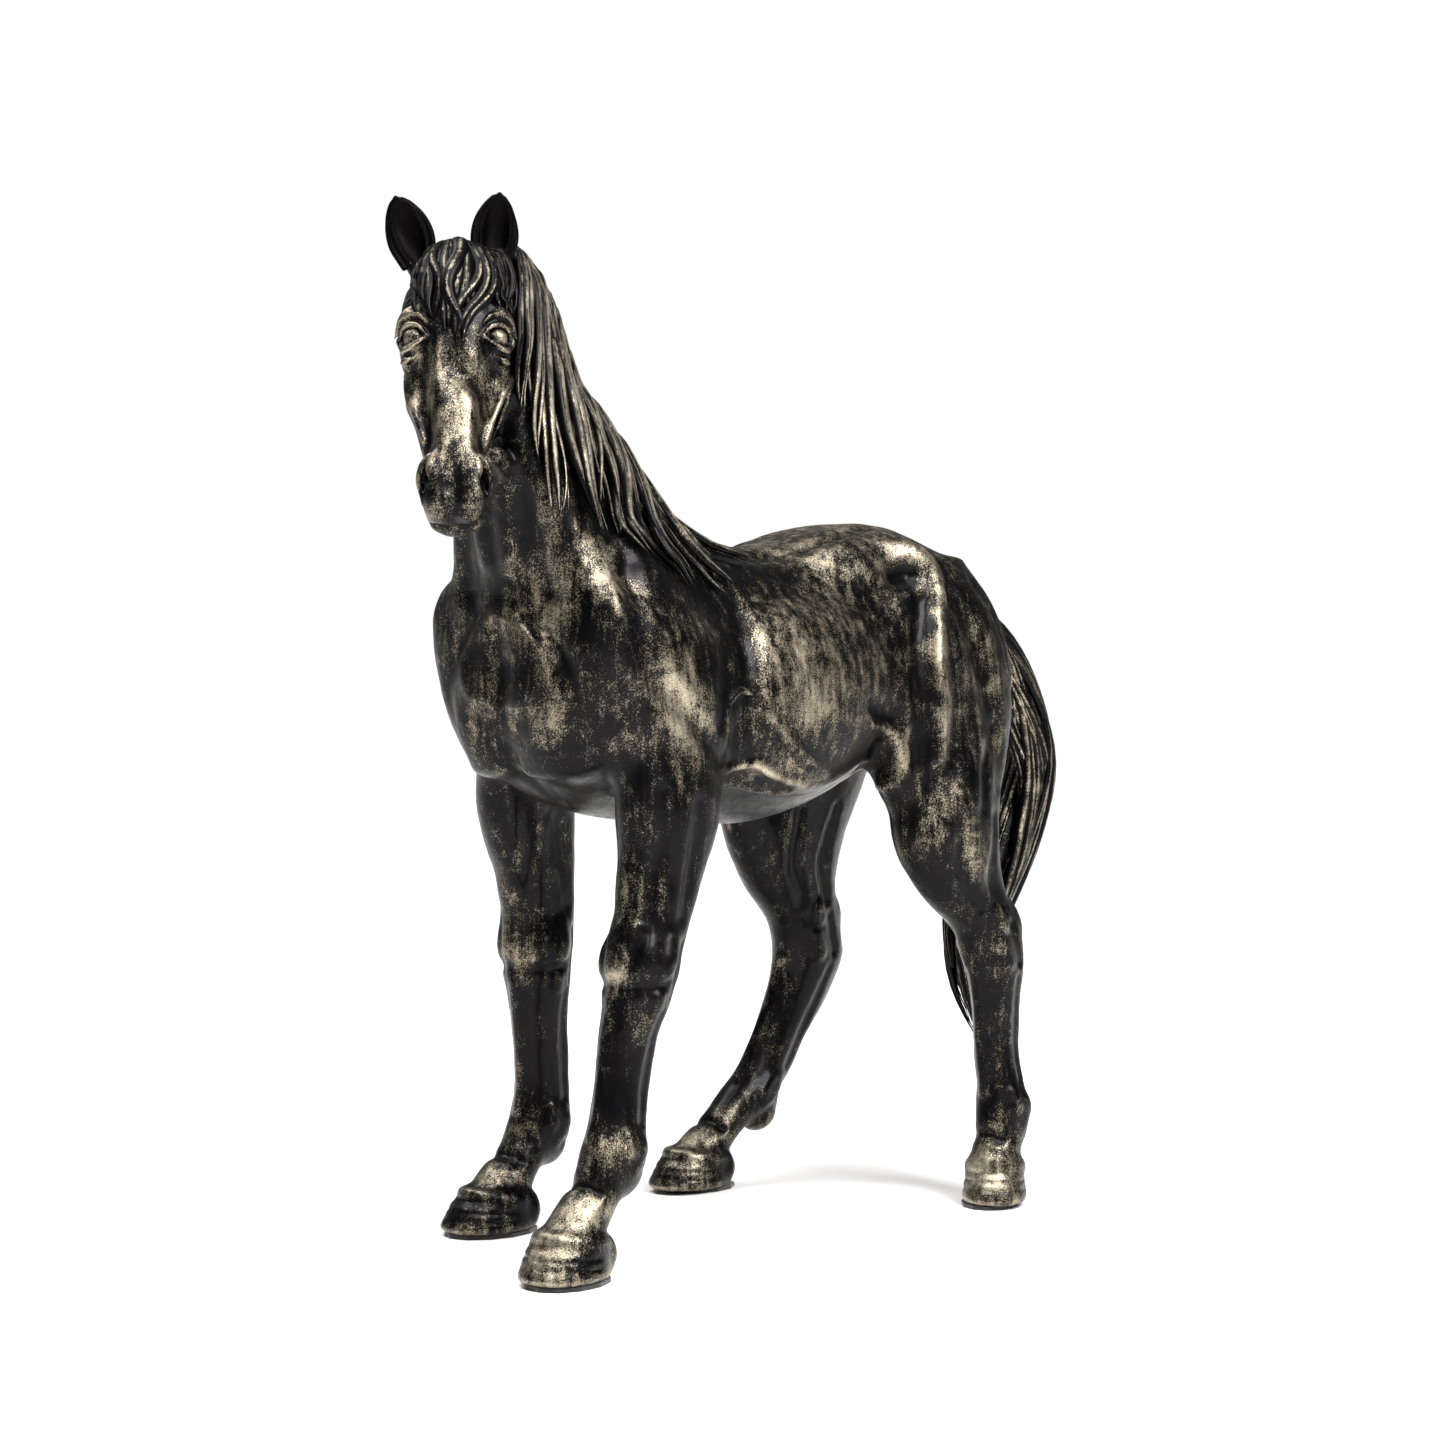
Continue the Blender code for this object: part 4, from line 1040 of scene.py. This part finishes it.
def makeEar(name):
    s = 1 if name.endswith("left") else -1
    lean, turn = math.radians(ear["lean"][name]) * s, math.radians(ear["turn"][name])
    out = np.array([math.cos(headTurn + turn), math.sin(headTurn + turn), 0])
    up = np.array([0, 0, 1.0]) * math.cos(lean) + out * math.sin(lean)
    across = out * math.cos(lean) - np.array([0, 0, 1.0]) * math.sin(lean)
    front = np.cross(up, across) * -1
    place = (toWorld(headPlace, [ear["seat"][name]])[0], np.array([across, front, up]))
    forms = [
        stack(ear["rows"], 3, place, spare=2),
        ellipsoid((0, 4.4, 10.5), (4.3, 4.0, 9.5), (-6, 0, 0), 0.8, True, place),  # hollow of the ear
        ellipsoid((0, 5.6, 3), (2.0, 4.0, 6), (10, 0, 0), 1.0, True, place),
        strand([(-1.6, -0.6, 4), (-1.4, -1.0, 10), (-0.8, -0.6, 15)], (0.4, 0.7, 0.3), 0.8, place=place),
    ]
    for side in (-s, s):  # rims
        rim = [(side * 4.6, 2.4, 1), (side * 6.0, 1.6, 8), (side * 5.2, 1.4, 13.5), (side * 2.8, 2.2, 18),
               (0, 2.8, 20.4)]
        forms.append(strand(rim, (0.7, 0.9, 0.8, 0.6, 0.4), 0.9, place=place))
    ends = np.array([toWorld(place, [(x, y, z)])[0] for x in (-9, 9) for y in (-7, 8) for z in (-9, 25)])
    field = fillField(forms, ends.min(0), ends.max(0), 0.34 * coarser)
    return skinMesh(name + "_skin", *biggest(*skinOf(*field)))


for name in ("ear_left", "ear_right"):
    mesh = makeEar(name)
    settleNormals(mesh)
    pieces[name] = addPiece(name + "_skin", mesh, bronzeEar, [name])
    print("ear", name, len(mesh.polygons))


def lockTree():
    # Guides come in as edges with a half width and the direction they face. Each becomes a lock of several
    # strands.
    tree = bpy.data.node_groups.new("hairLocks", "GeometryNodeTree")
    face = tree.interface
    face.new_socket("Geometry", in_out="INPUT", socket_type="NodeSocketGeometry")
    sockets = {}
    for label, kind, value in (("Strands", "NodeSocketInt", 5), ("Fan", "NodeSocketFloat", 0.8),
                               ("Strand width", "NodeSocketFloat", 0.42),
                               ("Flatness", "NodeSocketFloat", 0.8),
                               ("Crown", "NodeSocketFloat", 0.45), ("Wave", "NodeSocketFloat", 0.3),
                               ("Seed", "NodeSocketInt", 3), ("Material", "NodeSocketMaterial", None)):
        socket = face.new_socket(label, in_out="INPUT", socket_type=kind)
        if value is not None:
            socket.default_value = value
        sockets[label] = socket.identifier
    face.new_socket("Geometry", in_out="OUTPUT", socket_type="NodeSocketGeometry")
    given = addNode(tree, "NodeGroupInput").outputs
    half = addNode(tree, "GeometryNodeInputNamedAttribute", {"data_type": "FLOAT"},
                   Name="halfWidth").outputs[0]
    facing = addNode(tree, "GeometryNodeInputNamedAttribute", {"data_type": "FLOAT_VECTOR"},
                     Name="facing").outputs[0]
    along = addNode(tree, "GeometryNodeSplineParameter").outputs["Factor"]
    curves = addNode(tree, "GeometryNodeMeshToCurve", Mesh=given["Geometry"]).outputs[0]
    curves = addNode(tree, "GeometryNodeResampleCurve", Curve=curves, Count=30).outputs[0]
    copies = addNode(tree, "GeometryNodeDuplicateElements", {"domain": "SPLINE"}, Geometry=curves,
                     Amount=given["Strands"]).outputs
    locks = addNode(tree, "GeometryNodeStoreNamedAttribute", {"data_type": "FLOAT", "domain": "CURVE"},
                    Geometry=copies["Geometry"], Name="order", Value=copies["Duplicate Index"]).outputs[0]
    place = addNode(tree, "GeometryNodeInputNamedAttribute", {"data_type": "FLOAT"},
                    Name="order").outputs[0]
    which = addNode(tree, "GeometryNodeInputIndex").outputs[0]
    spline = addNode(tree, "GeometryNodeFieldOnDomain", {"data_type": "INT", "domain": "CURVE"},
                     Value=which).outputs[0]
    chance = addNode(tree, "FunctionNodeRandomValue", {"data_type": "FLOAT"}, ID=spline, Seed=given["Seed"])
    luck = [s for s in chance.outputs if s.enabled][0]

    # The numbers of a lock, in the order they are worked out: name, operation, what goes in
    number = {label: given[label] for label in sockets}
    number.update({"half": half, "along": along, "place": place, "luck": luck})
    for name, operation, *terms in (
        ("last", "SUBTRACT", "Strands", 1.0),
        ("last", "MAXIMUM", "last", 1.0),
        ("lane", "DIVIDE", "place", "last"),
        ("lane", "MULTIPLY_ADD", "lane", 2.0, -1.0),  # -1 to 1 across the lock
        ("belly", "MULTIPLY", "along", math.pi * 0.92),
        ("belly", "SINE", "belly"),
        ("belly", "MULTIPLY_ADD", "belly", 0.65, 0.35),  # widest near the middle
        ("phase", "MULTIPLY", "luck", 6.3),
        ("sway", "MULTIPLY_ADD", "along", 8.0, "phase"),
        ("sway", "SINE", "sway"),
        ("sway", "MULTIPLY", "Wave", "sway"),
        ("sway", "MULTIPLY", "sway", "along"),
        ("sideways", "MULTIPLY", "lane", "Fan"),
        ("sideways", "MULTIPLY_ADD", "sideways", "belly", "sway"),
        ("sideways", "MULTIPLY", "sideways", "half"),
        ("fall", "MULTIPLY", "lane", "lane"),
        ("crown", "MULTIPLY_ADD", "luck", 0.7, 0.65),
        ("crown", "SUBTRACT", "crown", "fall"),
        ("crown", "MULTIPLY", "Crown", "crown"),
        ("crown", "MULTIPLY", "crown", "belly"),
        ("crown", "MULTIPLY", "crown", "half"),
        ("root", "MULTIPLY_ADD", "along", 3.0, 0.5),
        ("root", "MINIMUM", "root", 1.0),
        ("bluntness", "MULTIPLY_ADD", "luck", 2.5, 1.8),
        ("tip", "POWER", "along", "bluntness"),
        ("tip", "SUBTRACT", 1.0, "tip"),
        ("tip", "POWER", "tip", 0.75),
        ("tip", "MULTIPLY_ADD", "tip", 0.96, 0.04),
        ("thickness", "MULTIPLY_ADD", "luck", 0.5, 0.75),
        ("size", "MULTIPLY", "half", "Strand width"),
        ("size", "MULTIPLY", "size", "root"),
        ("size", "MULTIPLY", "size", "tip"),
        ("size", "MULTIPLY", "size", "thickness"),
    ):
        inputs = {f"in{i}": number.get(term, term) for i, term in enumerate(terms)}
        number[name] = addNode(tree, "ShaderNodeMath", {"operation": operation}, **inputs).outputs[0]

    tangent = addNode(tree, "GeometryNodeInputTangent").outputs[0]
    side = addNode(tree, "ShaderNodeVectorMath", {"operation": "CROSS_PRODUCT"}, in0=facing,
                   in1=tangent).outputs[0]
    side = addNode(tree, "ShaderNodeVectorMath", {"operation": "NORMALIZE"}, in0=side).outputs[0]
    side = addNode(tree, "ShaderNodeVectorMath", {"operation": "SCALE"}, in0=side,
                   in3=number["sideways"]).outputs[0]
    rise = addNode(tree, "ShaderNodeVectorMath", {"operation": "SCALE"}, in0=facing,
                   in3=number["crown"]).outputs[0]
    offset = addNode(tree, "ShaderNodeVectorMath", {"operation": "ADD"}, in0=side, in1=rise).outputs[0]
    locks = addNode(tree, "GeometryNodeSetPosition", Geometry=locks, Offset=offset).outputs[0]
    locks = addNode(tree, "GeometryNodeSetCurveNormal", {"mode": "FREE"}, Curve=locks,
                    Normal=facing).outputs[0]
    ring = addNode(tree, "GeometryNodeCurvePrimitiveCircle", Resolution=9, Radius=1.0).outputs[0]
    flat = addNode(tree, "ShaderNodeCombineXYZ", X=given["Flatness"], Y=1.0, Z=1.0).outputs[0]
    spot = addNode(tree, "GeometryNodeInputPosition").outputs[0]
    oval = addNode(tree, "ShaderNodeVectorMath", {"operation": "MULTIPLY"}, in0=spot, in1=flat).outputs[0]
    ring = addNode(tree, "GeometryNodeSetPosition", Geometry=ring, Position=oval).outputs[0]
    swept = addNode(tree, "GeometryNodeCurveToMesh", Curve=locks, in1=ring, Scale=number["size"],
                    Fill_Caps=True).outputs[0]
    swept = addNode(tree, "GeometryNodeSetShadeSmooth", Geometry=swept).outputs[0]
    swept = addNode(tree, "GeometryNodeRealizeInstances", Geometry=swept).outputs[0]
    swept = addNode(tree, "GeometryNodeSetMaterial", Geometry=swept, Material=given["Material"]).outputs[0]
    addNode(tree, "NodeGroupOutput", in0=swept)
    return tree, sockets


locksTree, lockSockets = lockTree()


def combLocks(name, guides, field, settings, cavity=2.5, gildAndHighlight=0.25):
    # guides: list of (points, half widths) in mm. The result is one plain mesh with what the patina reads.
    points = np.vstack([p for p, _ in guides])
    widths = np.concatenate([w for _, w in guides])
    edges, start = [], 0
    for p, _ in guides:
        edges += [(start + i, start + i + 1) for i in range(len(p) - 1)]
        start += len(p)
    slope = sample(*field, points)[1]
    slope /= np.maximum(np.linalg.norm(slope, axis=1), 1e-6)[:, None]
    mesh = bpy.data.meshes.new(name + "_guides")
    mesh.from_pydata(((points + patternShift) * mm).tolist(), edges, [])
    putAttribute(mesh, "halfWidth", widths * mm)
    putAttribute(mesh, "facing", slope, "FLOAT_VECTOR")
    guide = bpy.data.objects.new(name + "_guides", mesh)
    bpy.context.scene.collection.objects.link(guide)
    modifier = guide.modifiers.new("locks", "NODES")
    modifier.node_group = locksTree
    for label, value in settings.items():
        modifier[lockSockets[label]] = value
    bpy.context.view_layer.update()
    combed = bpy.data.meshes.new_from_object(guide.evaluated_get(bpy.context.evaluated_depsgraph_get()))
    combed.name = name
    bpy.data.objects.remove(guide)
    for layer in [a.name for a in combed.attributes if a.name in ("halfWidth", "facing", "order")]:
        combed.attributes.remove(combed.attributes[layer])
    bm = bmesh.new()
    bm.from_mesh(combed)
    bmesh.ops.recalc_face_normals(bm, faces=bm.faces)
    bm.to_mesh(combed)
    bm.free()
    at = np.empty(len(combed.vertices) * 3, np.float32)
    combed.vertices.foreach_get("co", at)
    turned = np.array([v.normal for v in combed.vertices])
    at = at.reshape(-1, 3) / mm - patternShift
    value, slope = sample(*field, at)
    slope /= np.maximum(np.linalg.norm(slope, axis=1), 1e-6)[:, None]
    # Painted shade, partly patina left in the hollows: the faces of the locks turned towards the body, and
    # the parts close to the skin, get less gold
    outward = (turned * slope).sum(1)
    putAttribute(combed, "edge", np.clip(outward, 0, 1) ** 9 * 1.25 - 0.48)
    putAttribute(combed, "swell", np.clip(value - cavity, -3, 3))
    putAttribute(combed, "gildAndHighlight", np.full(len(at), gildAndHighlight))
    return combed


rng = np.random.default_rng(7)
mane = {
    # along the neck, fall, drift towards the tail, half width
    "locks": [(128, 48, -0.16, 2.6), (124, 60, -0.10, 2.8), (119, 74, -0.14, 3.2), (113, 58, -0.02, 3.2),
              (108, 72, -0.06, 3.6), (102, 56, 0.06, 3.2), (96, 64, 0.02, 3.8), (90, 50, 0.14, 3.4),
              (84, 62, 0.10, 3.8), (77, 46, 0.24, 3.4), (70, 60, 0.20, 3.8), (63, 54, 0.38, 3.6),
              (56, 56, 0.50, 3.8), (48, 36, 0.60, 3.2), (41, 36, 0.80, 3.2), (34, 24, 0.9, 2.8),
              (28, 18, 0.9, 2.4)],
    "under": [(127, 30, 0.0, 3.4), (118, 40, 0.1, 3.6), (108, 44, 0.1, 4), (98, 40, 0.2, 4),
              (88, 38, 0.25, 4), (78, 36, 0.3, 4), (68, 34, 0.4, 4), (58, 32, 0.5, 3.8),
              (48, 28, 0.6, 3.4), (38, 22, 0.8, 3), (28, 16, 1.0, 2.4)],
    "tufts": 34, "wave": 2.3, "lift": 1.5,
}


def crestPoint(along, across):
    rows = np.array(neck["rows"])
    up = np.interp(along, rows[:, 0], rows[:, 1]) + np.interp(along, rows[:, 0], rows[:, 3])
    return toWorld(neckPlace, [(across, up, along)])[0]


def fallingPath(start, fall, drift, lift, wave, phase, steps=22):
    # Follows gravity over the skin, a little at a time, with a slow wave
    path, point = [], pullOnto(*rough, np.array([start]), -lift)[0]
    for k in range(steps):
        path.append(point)
        t = k / steps
        sway = wave * math.cos(phase + 5.2 * t) * 5.2 / steps
        over = max(0.0, 1 - t / 0.22)  # first across the crest, then straight down
        pull = np.array([1.4 * over, drift * (1 - over) - 0.35 * over, -1.0 + 0.6 * over])
        pull = pull / np.linalg.norm(pull) * fall / steps + np.array([0, sway * (1 - over), 0])
        point = pullOnto(*rough, np.array([point + pull]), -lift * (1 - 0.3 * t))[0]
    return np.array(path)


def maneLocks():
    guides = []
    for layer, lift in (("under", 0.4), ("locks", mane["lift"])):
        for along, fall, drift, half in mane[layer]:
            path = fallingPath(crestPoint(along, 2.0), fall + 8, drift, lift, mane["wave"],
                               rng.uniform(0, 6.3))
            guides.append((path, np.full(len(path), half)))
    return guides


def maneTufts():
    guides = []
    for k in range(mane["tufts"]):
        along = 30 + 98 * (k + rng.uniform(0, 1)) / mane["tufts"]
        path = fallingPath(crestPoint(along, rng.uniform(-0.5, 2.5)), rng.uniform(14, 28),
                           rng.uniform(0.1, 0.8) + (110 - along) / 110,
                           1.4 + rng.uniform(0, 1.2), 0.8, rng.uniform(0, 6.3), 12)
        guides.append((path, np.full(len(path), rng.uniform(1.1, 1.9))))
    return guides


forelock = {
    # half width, then points in the head's frame: across, up, reach
    "locks": [(3.2, (0, 3, -4), (1, 6, 8), (-1, 6, 20), (0.5, 6, 33)),
              (2.8, (3, 3, -4), (7, 5, 7), (7.5, 5, 17), (3.5, 5, 27), (1.5, 5, 37)),
              (2.6, (4, 3, -4), (10, 4, 4), (13, 3, 13), (14, 2, 25)),
              (2.9, (-3, 3, -4), (-6, 5, 8), (-5, 6, 18), (-4, 6, 28)),
              (2.6, (-5, 3, -3), (-10, 4, 6), (-11, 4, 16), (-8, 5, 27)),
              (2.4, (1, 3, -4), (4, 6, 9), (2, 6, 21), (4, 6, 31)),
              (2.2, (-6, 2, -3), (-13, 2, 4), (-14, 2, 12), (-12.5, 2, 21)),
              (2.4, (7, 2, -4), (13, 1, 3), (16, 0, 10), (16, -2, 22)),
              (2.4, (-1, 3, -4), (-3, 6, 10), (-1, 6, 22), (-3, 6, 32))],
    "lift": 0.9,
}


def forelockGuides():
    guides = []
    for half, *points in forelock["locks"]:
        path = splineRows(toWorld(headPlace, points), 7)
        path = pullOnto(*rough, path, -forelock["lift"])
        guides.append((path, np.full(len(path), half)))
    return guides


tail = {
    # y, z, half width, half depth down the tail
    "rows": [(117, 185, 5, 6), (132, 181.5, 8, 7.6), (145.6, 170, 10.5, 9.4), (154, 151, 12.8, 11.4),
             (157.6, 131, 13, 12), (149, 107, 12.5, 10.6), (138, 87, 10.6, 9.4), (135, 68, 8, 7.4),
             (139, 52, 4.8, 4.6), (142, 42, 1.4, 1.6)],
    "locks": 22, "core": 0.72,
}


def tailForms():
    path = splineRows([(0, y, z, (a + b) / 2 * tail["core"]) for y, z, a, b in tail["rows"]], 4)
    return [strand([tuple(p[:3]) for p in path], path[:, 3], 3, steps=1)]


def tailGuides():
    rows = splineRows(tail["rows"], 5)
    middle = np.column_stack([np.zeros(len(rows)), rows[:, 0], rows[:, 1]])
    ahead = np.gradient(middle, axis=0)
    ahead /= np.linalg.norm(ahead, axis=1)[:, None]
    deep = np.cross(ahead, [1, 0, 0])
    guides = []
    for k in range(tail["locks"]):
        first = int(rng.uniform(0, 10)) if k % 3 else 0
        last = len(rows) - int(rng.uniform(0, 13) if k % 4 else 0)
        t = np.linspace(0, 1, len(rows))
        angle = 2 * math.pi * k / tail["locks"] + 0.5 * np.sin(t * 6 + rng.uniform(0, 6))
        angle += rng.uniform(-0.1, 0.1)
        reach = 0.86 * (1 + 0.06 * np.sin(t * 11 + rng.uniform(0, 6)))
        path = (middle + np.array([1, 0, 0]) * (rows[:, 2] * np.cos(angle) * reach)[:, None]
                + deep * (rows[:, 3] * np.sin(angle) * reach)[:, None])
        guides.append((path[first:last], np.interp(t[first:last], (0, 0.3, 0.75, 1), (1.6, 3.2, 2.6, 1.2))))
    return guides


def joinMeshes(name, meshes):
    bm = bmesh.new()
    for mesh in meshes:
        bm.from_mesh(mesh)
    made = bpy.data.meshes.new(name)
    bm.to_mesh(made)
    bm.free()
    made.shade_smooth()
    return made


print("hair")
hairLook = {
    "Strands": 4, "Fan": 0.84, "Strand width": 0.50, "Flatness": 0.70, "Crown": 0.55, "Wave": 0.55,
    "Seed": 5, "Material": bronzeHair,
}
tuftLook = {**hairLook, "Strands": 3}
forelockLook = {**hairLook, "Strands": 3, "Strand width": 0.62, "Crown": 0.2}
tailLook = {**hairLook, "Strands": 5, "Fan": 0.9}

longLocks = combLocks("mane_long", maneLocks(), rough, hairLook)
shortLocks = combLocks("mane_short", maneTufts(), rough, tuftLook)
maneMesh = joinMeshes("mane_locks", [longLocks, shortLocks])
pieces["mane"] = addPiece("mane_locks", maneMesh, bronzeHair, ["mane"])
forelockMesh = combLocks("forelock_locks", forelockGuides(), rough, forelockLook, 1.6, -0.78)
pieces["forelock"] = addPiece("forelock_locks", forelockMesh, bronzeHair, ["forelock"])
tailField = fillField(tailForms(), (-22, 110, 34), (22, 176, 204), 1.2)
tailCore = skinMesh("tail_core", *biggest(*skinOf(*tailField)))
tailCore.attributes.remove(tailCore.attributes["surfaceNormal"])
tailStrands = combLocks("tail_strands", tailGuides(), tailField, tailLook, 3.0, -0.52)
tailMesh = joinMeshes("tail_locks", [tailCore, tailStrands])
pieces["tail"] = addPiece("tail_locks", tailMesh, bronzeHair, ["tail"])
for name in ("mane", "forelock", "tail"):
    print(name, len(pieces[name].data.polygons))


jointBronze, jointTree, jointShader = newMaterial("machined_bronze", Metallic=1.0, Roughness=0.38)
# Turned bronze of the sleeves and dowels: bright yellow-brown with fine lathe marks
jointPlace = addNode(jointTree, "ShaderNodeTexCoord").outputs["Object"]
turning = addNode(jointTree, "ShaderNodeTexNoise", Vector=jointPlace, Scale=1 / (0.8 * mm), Detail=2.0)
tone = addNode(jointTree, "ShaderNodeValToRGB", Fac=turning.outputs["Fac"])
for stop, colour in zip(tone.color_ramp.elements, ("#7d6238", "#b08e54")):
    stop.color = toLinear(colour)
jointTree.links.new(tone.outputs[0], jointShader.inputs["Base Color"])

feltCloth, feltTree, feltShader = newMaterial("needled_wool_felt", Roughness=0.95, Sheen_Weight=0.4)
# Needled wool felt glued under each hoof: matt, fuzzy and near black, its fibres about 0.5 mm apart
feltPlace = addNode(feltTree, "ShaderNodeTexCoord").outputs["Object"]
fibre = addNode(feltTree, "ShaderNodeTexNoise", Vector=feltPlace, Scale=1 / (0.5 * mm), Detail=4.0)
feltTone = addNode(feltTree, "ShaderNodeValToRGB", Fac=fibre.outputs["Fac"])
for stop, colour in zip(feltTone.color_ramp.elements, ("#151413", "#2b2825")):
    stop.color = toLinear(colour)
feltTree.links.new(feltTone.outputs[0], feltShader.inputs["Base Color"])
feltBump = addNode(feltTree, "ShaderNodeBump", Height=fibre.outputs["Fac"], Strength=0.6, Distance=0.2 * mm)
feltTree.links.new(feltBump.outputs[0], feltShader.inputs["Normal"])

for name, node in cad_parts.items():
    if name.endswith("_pad"):
        node.material_slots[0].material = feltCloth
    elif name.endswith(("_sleeve", "_dowel")):
        node.material_slots[0].material = jointBronze

print("studio")
studio = {
    "floor": "#faf9f7", "floorSize": 24.0, "sky": 1.0, "skyLight": 0.16, "sun": 3.25, "sunWidth": 50,
    # azimuth from the front, positive to the horse's left, elevation, distance and side in m, watts
    "boxes": {"keyBox": (82, 38, 1.1, 0.45, 18), "frontBox": (30, 48, 1.2, 0.35, 7),
              "rimBox": (-70, 50, 1.2, 0.4, 5)},
}
floorMesh = bpy.data.meshes.new("floor")
half = studio["floorSize"] / 2
floorMesh.from_pydata([(-half, -half, 0), (half, -half, 0), (half, half, 0), (-half, half, 0)], [],
                      [(0, 1, 2, 3)])
floor = bpy.data.objects.new("floor", floorMesh)
bpy.context.scene.collection.objects.link(floor)
floorPaint, _, floorShader = newMaterial("matt_white_paint", Roughness=0.8)
floorShader.inputs["Base Color"].default_value = toLinear(studio["floor"])
floorMesh.materials.append(floorPaint)
# White matt paint, rolled flat: pale and without a sheen, so only the shadow of the horse shows on it
floor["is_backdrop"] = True

world = bpy.data.worlds.new("studio")
bpy.context.scene.world = world
world.use_nodes = True
# The backdrop is seen white, and gives only a little of the light, so that the soft boxes model the form
sky = world.node_tree.nodes["Background"]
sky.inputs["Color"].default_value = toLinear("#ffffff")
seen = addNode(world.node_tree, "ShaderNodeLightPath").outputs["Is Camera Ray"]
strength = addNode(world.node_tree, "ShaderNodeMapRange", Value=seen, To_Min=studio["skyLight"],
                   To_Max=studio["sky"])
world.node_tree.links.new(strength.outputs["Result"], sky.inputs["Strength"])
bpy.context.scene.view_settings.view_transform = "Standard"


def addLight(name, azimuth, elevation, distance, size, power):
    # A soft box aimed at the middle of the horse
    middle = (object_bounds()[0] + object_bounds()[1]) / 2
    a, e = math.radians(azimuth), math.radians(elevation)
    toLight = Vector((math.sin(a) * math.cos(e), -math.cos(a) * math.cos(e), math.sin(e)))
    data = bpy.data.lights.new(name, "AREA")
    data.energy, data.size = power, size
    obj = bpy.data.objects.new(name, data)
    bpy.context.scene.collection.objects.link(obj)
    obj.location = middle + toLight * distance
    obj.rotation_euler = (-toLight).to_track_quat("-Z", "Y").to_euler()


for name, settings in studio["boxes"].items():
    addLight(name, *settings)
overhead = bpy.data.lights.new("overhead", "SUN")
overhead.energy, overhead.angle = studio["sun"], math.radians(studio["sunWidth"])
overheadObject = bpy.data.objects.new("overhead", overhead)
overheadObject.rotation_euler = (math.radians(12), 0, math.radians(30))
bpy.context.scene.collection.objects.link(overheadObject)
